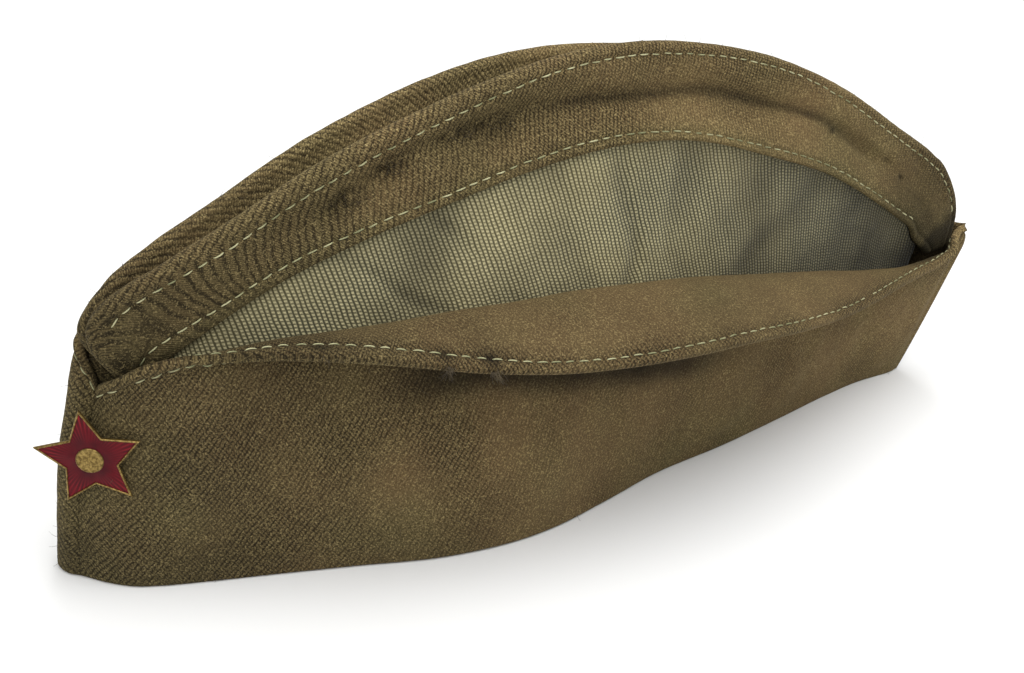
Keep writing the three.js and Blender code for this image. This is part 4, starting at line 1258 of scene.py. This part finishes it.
# Columns: frayed place along the lip, fibres, length in mm
TUFTS = [(0.262, 26, 2.2), (0.303, 30, 2.6), (0.165, 5, 1.2)]
FLAP_STITCHES = tracks(("down",), FLAP_LINE)["down"]
# Columns: at, millimetres below the lip down to which the lip's painted shadow reaches
LIP_SHADOW_ROWS = [
    (0, 30), (0.2, 33), (0.3, 38), (0.35, 41), (0.4, 46), (0.45, 49), (0.5, 52), (0.6, 53), (0.7, 46),
    (1, 30),
]
LIP_SHADOW = tracks(("down",), LIP_SHADOW_ROWS)["down"]
print("dark cloth under the lip half way along, down to mm:", round(float(LIP_SHADOW(0.5)), 1))

# %% [markdown]
# The flaps' relief and ends. A flap is sewn to its other half at the front and back seams,
# so its ends are drawn to the middle there, and no point may cross to the other side.

# %% Relief and ends of the flaps


def flap_relief(side, grid, up, down, place, line):
    """How far the flap's outer face stands out, in mm."""
    seam_mm = place * SEAM_LENGTH
    ends = smooth(seam_mm, 0.5, 14) * smooth(SEAM_LENGTH - seam_mm, 2, 14)
    swell = 0.42 * noise(grid, 30, 32 + side) + 0.16 * noise(grid, 11, 34) + 0.06 * noise(grid, 4, 35)
    lift = (swell + 0.2) * ends * smooth(up, 1, 8) * smooth(down, 3, 9)
    # The hem stands up between its edge and the stitches, which lie in a puckered groove.
    lift += 0.16 * bump_at(down, line / 2, 1.1) - GROOVE_DEPTH * bump_at(down, line, 0.7)
    lift += 0.16 * noise(grid * (1, 0.3, 0.35), 4.4, 31) * bump_at(down, line, 3)
    # The front seam, and on the near side a dent that runs back from it.
    lift += 0.10 * bump_at(seam_mm, 2.4, 1.3) - 0.05 * bump_at(seam_mm, 0, 0.6)
    if side == LEFT:
        lift -= 0.6 * bump_at(seam_mm, 13, 8) * bump_at(up, 40.5 - 0.1 * seam_mm, 1.3)
    return lift


def fit_ends(side, outer, inner, down, place, nose_corner):
    """Draw the flap's two ends to their seams, and keep it on its own side and above the floor."""
    from_tail = SEAM_LENGTH - place * SEAM_LENGTH
    sewn = smooth(place, 0.975, 0.998) * (side * 0.02 - inner[..., 1])
    tail = smooth(place, 0.965, 0.99) * smooth(8 - down, 0, 6)
    outer[..., 0] -= (1.3 + 1.3 * bump_at(down, 0, 3)) * (1 - smooth(from_tail, 0, 4))
    for face in (outer, inner):
        face[..., 0] -= 1.2 * tail
        face[..., 2] += 1.0 * nose_corner
        face[..., 2] -= 0.9 * (1 - smooth(from_tail, 0, 5)) * bump_at(down, 0, 4)
        face[..., 1] += sewn
        face[..., 2] = np.maximum(face[..., 2], 0)
        held = side * np.maximum(side * face[..., 1], 0.02)
        face[..., 1] = np.where(place > 0.5, held, face[..., 1])
        face += NOSE_ACROSS * (-side * 0.03 * (1 - smooth(place, 0, 0.01)))[..., None]


print("flap's seam to seam length, mm:", SEAM_LENGTH)

# %% [markdown]
# The flaps' finish and painted shade. The nap has lasted best away from the front and the hem, the hem is
# rubbed paler, and the facing inside is darker than the outside. In the pocket at the tail the facing is
# painted darker still, as shade, and the near flap carries the lip's painted shadow.

# %% Finish and painted shade of the flaps


def flap_wear_and_painted_shade(side, grid, up, down, place, line):
    """Nap, shade and tone of the flap's outside and of its facing, with painted shade in the pocket and the
    lip's painted shadow.
    """
    nap = 0.05 + 0.8 * smooth(place, 0.1, 0.5) + 0.25 * noise(grid, 26, 36) - 0.6 * bump_at(down, 1.5, 3)
    # Lighter on the hem, darker along the stitches, at the front and near the foot.
    shade = 0.04 * noise(grid, 22, 37) + 0.08 * bump_at(down, 1.0, 1.5) - 0.15 * bump_at(down, line, 0.8)
    shade -= 0.04 * bump_at(place * SEAM_LENGTH, 0, 0.8) + 0.15 * (1 - smooth(place, 0.1, 0.3))
    shade -= 0.13 * smooth(25 - up, 0, 25)
    shade += 0.05 * smooth(place, 0.1, 0.3) + 0.08 * smooth(place, 0.7, 0.9)
    shade += 0.25 * bump_at(down, 0.2, 1.6) * smooth(place, 0.93, 0.98)
    tone = 0.15 + 0.55 * bump_at(place, 0, 0.16) + 0.22 * noise(grid, 34, 38) + 0.2 * smooth(20 - up, 0, 20)
    outside_shade = shade
    if side == LEFT:
        for at, _, length in TUFTS:
            shade = shade - 0.5 * bump_at((place - at) * SEAM_LENGTH, 0, 2.5) * bump_at(down, 3.0, length)
        # Painted shadow of the overhanging lip on the near flap's outside, down to the LIP_SHADOW line.
        under = smooth(down, 2, 8) * smooth(LIP_SHADOW(place) + 8 - down, 0, 8)
        under *= smooth(place, 0.2, 0.32) * smooth(0.72 - place, 0, 0.16)
        outside_shade = shade - 0.85 * under
    # Painted shade in the pocket at the tail, on the facing.
    pocket = smooth(place, 0.90, 0.96) * smooth(down, 1.8, 4)
    facing = wear(nap + 0.3 * smooth(down, 5, 9), shade - 0.27 - 0.6 * pocket, tone - 0.1)
    return wear(nap, outside_shade, tone), facing


print("frayed places on the near lip:", len(TUFTS))

# %% [markdown]
# Both flaps are made by one function, from two different faces. Their inner face keeps clear of the wall,
# and the two layers of wool with all their relief grow outward from it.

# %% Flaps


def make_flap(side):
    """One flap: opened on the left, closed on the right."""
    s = places_along(FLAP_COLUMNS, *FULL_SPAN)
    face = lapel_face if side == LEFT else closed_face
    grid, up = sample(face, side, s, 2, edged_rows(NEAR_EDGE[:7], NEAR_EDGE, FLAP_ROWS))
    place = s[:, None] + 0 * up
    seam_mm = place * SEAM_LENGTH
    nose = (1 - smooth(place, 0, 0.01))[..., None]
    normal = unit(grid_normals(grid, side) * (1 - nose) + NOSE_FACING * nose)
    down = up[:, -1:] - up
    line = FLAP_STITCHES(s)[:, None]
    nose_corner = (side == RIGHT) * bump_at(seam_mm, 7, 6) * bump_at(down, 0, 5)
    thick = FLAP + 0.4 * bump_at(down, 1.0, 1.5) - 0.7 * nose_corner
    lift = flap_relief(side, grid, up, down, place, line)
    edge = round_edge(np.minimum(up, down), FLAP) * round_edge(seam_mm + 0.75, FLAP * 0.8)
    middle = grid + normal * (thick / 2)[..., None]
    outer = middle + normal * (thick / 2 * edge + lift * smooth(down, 0, 1) * smooth(up, 0, 1.5))[..., None]
    groove = 0.32 * bump_at(down, line, 0.7) * smooth(down, 0, 1)
    inner = middle - normal * (thick / 2 * edge - groove)[..., None]
    fit_ends(side, outer, inner, down, place, nose_corner)
    height = np.where(side == LEFT, up, grid[..., 2]) - FLAP_LEVEL
    cloth = weave(grid, height, 34 - 12 * smooth(s, 0.1, 0.4), 0)
    name = "flap_" + SIDE_NAMES[side]
    finishes_and_painted_shades = flap_wear_and_painted_shade(side, grid, up, down, place, line)
    piece = closed_mesh(name, outer, inner, side, cloth, finishes_and_painted_shades, wool, "wool")
    at = (up[:, -1:] - line)[:, 0]
    paths = {
        "outer": [line_at(outer, up, at), line_at(normal, up, at)],
        "facing": [line_at(inner, up, at), -line_at(normal, up, at)],
        "lip": middle[:, -1],
    }
    return piece, outer, paths


flaps = {side: make_flap(side) for side in (LEFT, RIGHT)}

# %% [markdown]
# Topstitching in waxed cotton thread. A texture of dashes would lie flat, and real stitches sink at both
# ends and stand up between.
# Each one is a short round thread, a little different from the next, and a whole line of them is one mesh.
# Waxed thread has a dull gloss. The wax has gone in places, and its ply shows as ridges 0.4 mm apart.
# The same thin tubes, finer and curled, make the frayed tufts and the few loose fibres.

# %% Thread and stitches
THREAD_RADIUS = 0.19
STITCH_PITCH = 3.75
STITCH_LENGTH = 2.75
TUBE_SIDES = 6
STITCH_RINGS = 7


def spun_fibre(name, clean, worn_colour):
    """Spun or loose fibre, in two colours that follow its wear."""
    material, tree = new_material(name)
    place = add(tree, "TexCoord", (), "Object")
    worn = add(tree, "TexNoise", {"Vector": place, "Scale": 160.0, "Detail": 3.0})
    ply = add(tree, "TexNoise", {"Vector": place, "Scale": 2600.0, "Detail": 1.0})
    share = add(tree, "MapRange", [worn, 0.36, 0.6, 0.0, 1.0])
    colour = add(tree, "Mix", {FACTOR: share, FIRST: linear(clean), SECOND: linear(worn_colour)}, MIXED,
                 data_type="RGBA")
    bump = add(tree, "Bump", {"Height": ply, "Strength": 0.5, "Distance": 0.0002})
    shader = add(tree, "BsdfPrincipled", {"Base Color": colour, "Normal": bump, "Roughness": 0.7})
    add(tree, "OutputMaterial", {"Surface": shader})
    return material


def tubes(paths):
    """Points and faces of thin round tubes, each given as its centre line and radii."""
    verts, faces = [], []
    turns = 2 * np.pi * np.arange(TUBE_SIDES) / TUBE_SIDES
    for centre, radius in paths:
        way = unit(np.gradient(centre, axis=0))
        beside = unit(np.cross(way, (0.31, 0.17, 0.93)))
        over = np.cross(beside, way)
        first, rings = len(verts), len(centre)
        for c, r, a, b in zip(centre, radius, beside, over):
            verts.extend(c + r * (np.cos(turns)[:, None] * a + np.sin(turns)[:, None] * b))
        for k in range(rings - 1):
            for j in range(TUBE_SIDES):
                a, b = first + k * TUBE_SIDES + j, first + k * TUBE_SIDES + (j + 1) % TUBE_SIDES
                faces.append((a, b, b + TUBE_SIDES, a + TUBE_SIDES))
        faces.append(tuple(first + j for j in reversed(range(TUBE_SIDES))))
        faces.append(tuple(first + (rings - 1) * TUBE_SIDES + j for j in range(TUBE_SIDES)))
    return np.array(verts), faces


def stitches(path, normal, part, lost):
    """Centre lines and radii of the stitches along a path on the cloth."""
    run = np.concatenate(([0], np.cumsum(np.linalg.norm(np.diff(path, axis=0), axis=-1))))
    share = np.linspace(0, 1, STITCH_RINGS)
    arch = np.sin(np.pi * share) ** 0.6
    place, made = run[-1] * part[0], []
    while place + STITCH_LENGTH < run[-1] * part[1]:
        at = place + STITCH_LENGTH * rng.uniform(0.86, 1.08) * share
        centre = np.stack([np.interp(at, run, path[:, k]) for k in range(3)], axis=-1)
        out = unit(np.stack([np.interp(at, run, normal[:, k]) for k in range(3)], axis=-1))
        beside = np.cross(unit(np.gradient(centre, axis=0)), out)
        # Both ends sink into the cloth, the middle stands up, and the stitch drifts off its line.
        height = (THREAD_RADIUS * 1.5 + 0.10) * arch - THREAD_RADIUS * 0.85 + rng.uniform(-0.08, 0.04)
        drift = np.linspace(*rng.normal(0, 0.08, 2), STITCH_RINGS)
        if rng.random() >= lost:
            raised = centre + out * height[:, None] + beside * drift[:, None]
            made.append((raised, THREAD_RADIUS * (0.5 + 0.5 * arch)))
        place += STITCH_PITCH * rng.uniform(0.95, 1.05)
    return made


thread = spun_fibre("waxed_cotton_thread", "#b4b088", "#7f7f59")
STITCH_LINES = [
    # name, path, part of the path, share of lost stitches
    ("crown_left_ridge", crowns[LEFT][2]["ridge"], (0.115, 0.97), 0.02),
    ("crown_right_ridge", crowns[RIGHT][2]["ridge"], (0.03, 0.97), 0.03),
    ("crown_left_edge", crowns[LEFT][2]["edge"], (0.06, 0.94), 0.02),
    ("crown_right_edge", crowns[RIGHT][2]["edge"], (0.05, 0.94), 0.04),
    ("flap_left_outer", flaps[LEFT][2]["outer"], (0.002, 0.99), 0.05),
    ("flap_left_facing", flaps[LEFT][2]["facing"], (0.02, 0.98), 0.04),
    ("flap_right_outer", flaps[RIGHT][2]["outer"], (0.002, 0.99), 0.05),
]
for line_name, (path, way_out), part, lost in STITCH_LINES:
    place_piece(line_name + "_stitches", *tubes(stitches(path, way_out, part, lost)), thread, "cotton")

# %% [markdown]
# Frayed tufts hang from the near flap's lip, short ones stand at the crown's worn spots, and single
# fibres stand off the napped wool all over. A particle system of hair would be hidden work in the file,
# so each fibre is a short curled tube. Real ones are about 0.02 mm thick. These are drawn four to eight
# times as thick, or the view would lose them.

# %% Loose fibres
FIBRE_RADIUS = 0.045
TUFT_RADIUS = 0.08
SPOT_RADIUS = 0.07
SPOT_FIBRES = 26
FRAYED_SPOTS = WORN_SPOTS[:4]
HAIRS = 260


def curl(start, way, length, dice, radius=FIBRE_RADIUS):
    """One curled fibre from a point."""
    share = np.linspace(0, 1, 6)[:, None]
    bend = dice.normal(0, 0.45, 3)
    centre = start + length * (share * way + share ** 2 * bend)
    centre[:, 2] = np.maximum(centre[:, 2], 0.2)
    return centre, radius * (1 - 0.6 * share[:, 0])


def make_fibres():
    """Tufts on the lip, frayed spots on the crown, and hairs over the cloth."""
    dice = np.random.default_rng(41)
    made = []
    lip = flaps[LEFT][2]["lip"]
    places = places_along(FLAP_COLUMNS, *FULL_SPAN)
    for at, count, length in TUFTS:
        base = np.array([np.interp(at, places, lip[:, k]) for k in range(3)])
        for _ in range(count):
            way = unit(np.array((0.1, -0.5, -0.7)) + dice.normal(0, 0.4, 3))
            start = base + dice.normal(0, (0.6, 0.25, 0.3)) + (0, -0.6, 0.6)
            made.append(curl(start, way, length * dice.uniform(0.5, 1.0), dice, TUFT_RADIUS))
    panel = crowns[LEFT][1]
    for at, height, half_long, half_high, _ in FRAYED_SPOTS:
        column = panel[np.argmin(np.abs(CROWN_PLACES - at))]
        run = lengths_up(column[None])[0]
        base = np.array([np.interp(height, run, column[:, k]) for k in range(3)])
        for _ in range(SPOT_FIBRES):
            start = base + dice.normal(0, (half_long * 0.4, 0.2, half_high * 0.4))
            way = unit(np.array((0, -0.8, 0.3)) + dice.normal(0, 0.5, 3))
            made.append(curl(start, way, dice.uniform(0.6, 1.8), dice, SPOT_RADIUS))
    for piece, outer, _ in (flaps[LEFT], flaps[RIGHT], crowns[LEFT], crowns[RIGHT]):
        normal = grid_normals(outer, LEFT if piece.name.count("left") else RIGHT)
        for _ in range(HAIRS):
            i, j = dice.integers(6, outer.shape[0] - 6), dice.integers(4, outer.shape[1] - 12)
            way = unit(dice.normal(0, 1, 3)) + normal[i, j] * 0.35
            made.append(curl(outer[i, j], unit(way), dice.uniform(0.8, 2.4), dice))
    place_piece("loose_wool_fibres", *tubes(made), loose, "wool")


loose = spun_fibre("loose_wool_fibre", "#4c4029", "#271f10")
make_fibres()

# %% [markdown]
# All six sheets are held by their folds and seams. The crown rests on the lower wall, the wall stands in
# its flap, and the flaps stand on the floor.

RESTS_ON = [(crowns, "lower_wall_{}_cloth"), (walls, "flap_{}_cloth"), (flaps, "floor")]
for made, support in RESTS_ON:
    for side, (piece, outer, *_) in made.items():
        declare_cloth(outer)

# %% [markdown]
# The badge is stamped brass, filled with hot enamel. Handling has polished its high edges,
# and the low places have gone dark, so the colour and the roughness follow one fine stain pattern,
# in spots of about 0.7 mm.
# Brass is a metal: it keeps the default IOR, and its colour is in its reflection.

# %% Brass


def tarnished_brass(name, bright, dull):
    """Stamped brass with dark tarnish in its low places."""
    material, tree = new_material(name)
    place = add(tree, "TexCoord", (), "Object")
    stain = add(tree, "TexNoise", {"Vector": place, "Scale": 1500.0, "Detail": 4.0, "Roughness": 0.65})
    dulled = add(tree, "MapRange", [stain, 0.38, 0.62, 0.0, 1.0])
    colour = add(tree, "Mix", {FACTOR: dulled, FIRST: linear(bright), SECOND: linear(dull)}, MIXED,
                 data_type="RGBA")
    bump = add(tree, "Bump", {"Height": stain, "Strength": 0.25, "Distance": 0.0001})
    rough = add(tree, "MapRange", [stain, 0.3, 0.7, 0.32, 0.6])
    shader = add(tree, "BsdfPrincipled", {
        "Base Color": colour, "Normal": bump, "Metallic": 1.0, "Roughness": rough,
    })
    add(tree, "OutputMaterial", {"Surface": shader})
    return material


brass = tarnished_brass("stamped_tarnished_brass", "#9c8550", "#63502d")
print("brass:", brass.name)

# %% [markdown]
# Vitreous enamel is glass, fused into the stamped field. Fine rays are struck into the brass first and
# show through it, brighter toward the points, where they are 0.8 mm apart. Glass has an IOR of 1.5, and
# a worn one is less glossy than new. Real depth would need a glass layer over a relief.
# At this size relief and colour in one surface look the same, measured from the star's middle.

# %% Enamel
RAY_COUNT = 60  # all the way round
BOSS_MIDDLE = np.mean(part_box("star_boss"), axis=0) * 1000 - SHIFT
# From the boss's middle to the middle of the rim's front: up, across and inward, in mm
STAR_RAISED, STAR_ACROSS, STAR_SUNK = 1.3, 0.6, 0.25
RAYS_FROM, RAYS_FULL = 0.0045, 0.0085  # metres from the middle where the rays start to show and are full
LEAN = math.radians(STAR_LEAN)
STAR_RIGHT = NOSE_ACROSS * math.cos(LEAN) + np.array((0, 0, math.sin(LEAN)))
STAR_UP = np.array((0, 0, math.cos(LEAN))) - NOSE_ACROSS * math.sin(LEAN)
STAR_CENTRE = BOSS_MIDDLE + NOSE_ACROSS * STAR_ACROSS + np.array((0, 0, STAR_RAISED))
STAR_CENTRE = STAR_CENTRE - NOSE_FACING * STAR_SUNK


def red_enamel(name, deep, deeper, ray_colour):
    """Translucent red vitreous enamel over struck rays."""
    material, tree = new_material(name)
    place = add(tree, "TexCoord", (), "Object")
    middle = tuple((STAR_CENTRE + SHIFT) / 1000)
    away = add(tree, "VectorMath", [place, middle], operation="SUBTRACT")
    x = add(tree, "VectorMath", [away, tuple(STAR_RIGHT)], "Value", operation="DOT_PRODUCT")
    y = add(tree, "VectorMath", [away, tuple(STAR_UP)], "Value", operation="DOT_PRODUCT")
    angle = add(tree, "Math", [y, x], operation="ARCTAN2")
    turns = add(tree, "Math", [angle, RAY_COUNT], operation="MULTIPLY")
    wave = add(tree, "Math", [turns], operation="SINE")
    half_wave = add(tree, "Math", [wave, 0.5, 0.5], operation="MULTIPLY_ADD")
    ray = add(tree, "Math", [half_wave, 2.0], operation="POWER")
    on_plate = add(tree, "CombineXYZ", [x, y, 0.0])
    radius = add(tree, "VectorMath", [on_plate], "Value", operation="LENGTH")
    outward = add(tree, "MapRange", [radius, RAYS_FROM, RAYS_FULL, 0.0, 1.0])
    struck = add(tree, "Math", [ray, outward], operation="MULTIPLY")
    cloud = add(tree, "TexNoise", {"Vector": place, "Scale": 300.0, "Detail": 3.0})
    clearness = add(tree, "MapRange", [cloud, 0.3, 0.7, 0.2, 0.8])
    shine = add(tree, "Math", [struck, clearness], operation="MULTIPLY")
    thickness = add(tree, "MapRange", [cloud, 0.35, 0.7, 0.0, 1.0])
    glass = add(tree, "Mix", {FACTOR: thickness, FIRST: linear(deep), SECOND: linear(deeper)}, MIXED,
                data_type="RGBA")
    colour = add(tree, "Mix", {FACTOR: shine, FIRST: glass, SECOND: linear(ray_colour)}, MIXED,
                 data_type="RGBA")
    bump = add(tree, "Bump", {"Height": struck, "Strength": 0.15, "Distance": 0.0001})
    shader = add(tree, "BsdfPrincipled", {
        "Base Color": colour, "Normal": bump, "Roughness": 0.3, "IOR": 1.5, "Specular IOR Level": 0.14,
    })
    add(tree, "OutputMaterial", {"Surface": shader})
    return material


enamel = red_enamel("vitreous_red_enamel", "#550410", "#3c030c", "#8c1820")
print("rays in the enamel:", RAY_COUNT)

# %% [markdown]
# The badge's form. The plate has a thin raised rim, pressed with rounded edges, and the enamel swells a
# little toward the middle. A bevel modifier rounds all edges alike, so the profile is drawn as a list of
# insets and depths instead, and swept round the star.

# %% Star
STAR_CORNERS = 10  # five tips and five inner corners
STAR_WAIST = 0.5  # inner corners, as a share of the way to a tip
TIP_FACTOR, WAIST_FACTOR = 2.5, 1.15  # a tip and an inner corner move in this much faster than a side
POINTS_A_SIDE = 6
ROUND_POINTS = 48
# Columns: inset from the side in mm, depth from the front of the rim in mm
RIM_PROFILE = [
    (1.0, -1.7), (0.12, -0.9), (0.0, -0.6), (0.02, -0.25), (0.10, -0.06), (0.20, 0.0), (0.32, -0.02),
    (0.40, -0.12), (0.43, -0.45),
]
FIELD_PROFILE = [
    (0.40, -0.50), (0.41, -0.22), (0.60, -0.26), (1.2, -0.20), (2.0, -0.08), (2.9, 0.02), (3.6, 0.08),
]
# Columns: radius in mm, depth from the front of the rim in mm
BOSS_PROFILE = [
    (3.1, -0.3), (3.1, 0.22), (2.98, 0.36), (2.75, 0.4), (2.5, 0.36), (2.3, 0.25), (1.9, 0.3), (1.2, 0.42),
    (0.5, 0.48),
]


def star_ring(inset, depth):
    """Points round the star at an inset from its sides."""
    tip = STAR_RADIUS - inset * TIP_FACTOR
    waist = STAR_RADIUS * STAR_WAIST - inset * WAIST_FACTOR
    corner = np.arange(STAR_CORNERS + 1)
    angles = np.pi / 2 + corner * np.pi / 5
    reach = np.where(corner % 2, waist, tip)
    corners = STAR_CENTRE + NOSE_FACING * depth + (reach * np.cos(angles))[:, None] * STAR_RIGHT
    corners = corners + (reach * np.sin(angles))[:, None] * STAR_UP
    share = np.arange(POINTS_A_SIDE)[:, None] / POINTS_A_SIDE
    return np.concatenate([a + (b - a) * share for a, b in zip(corners[:-1], corners[1:])])


def round_ring(radius, depth):
    """Points round a circle at the star's middle."""
    angles = np.linspace(0, 2 * np.pi, ROUND_POINTS + 1)[:-1]
    way = np.cos(angles)[:, None] * STAR_RIGHT + np.sin(angles)[:, None] * STAR_UP
    return STAR_CENTRE + NOSE_FACING * depth + radius * way


def swept(node, rings, material, slot_name):
    """One closed piece from rings, the last and the first filled in."""
    count = len(rings[0])
    faces = []
    for k in range(len(rings) - 1):
        for j in range(count):
            a, b = k * count + j, k * count + (j + 1) % count
            faces.append((a, b, b + count, a + count))
    verts = np.concatenate(rings)
    for ring, turn in ((0, -1), (len(rings) - 1, 1)):
        verts = np.concatenate((verts, [rings[ring].mean(axis=0)]))
        for j in range(count):
            a, b = ring * count + j, ring * count + (j + 1) % count
            faces.append((a, b, len(verts) - 1)[::turn])
    piece = place_piece(node + "_pressed", verts, faces, material, slot_name)
    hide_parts(node)
    return piece


plate = swept("star_body", [star_ring(*row) for row in RIM_PROFILE], brass, "brass")
plate.data.set_sharp_from_angle(angle=0.7)
swept("star_enamel", [star_ring(*row) for row in FIELD_PROFILE], enamel, "enamel")
swept("star_boss", [round_ring(*row) for row in BOSS_PROFILE], brass, "brass")
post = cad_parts["star_post"]
post.data.materials.clear()
post.data.materials.append(brass)
print("star tip to tip, mm:", round(2 * STAR_RADIUS * math.sin(math.radians(72)), 1))
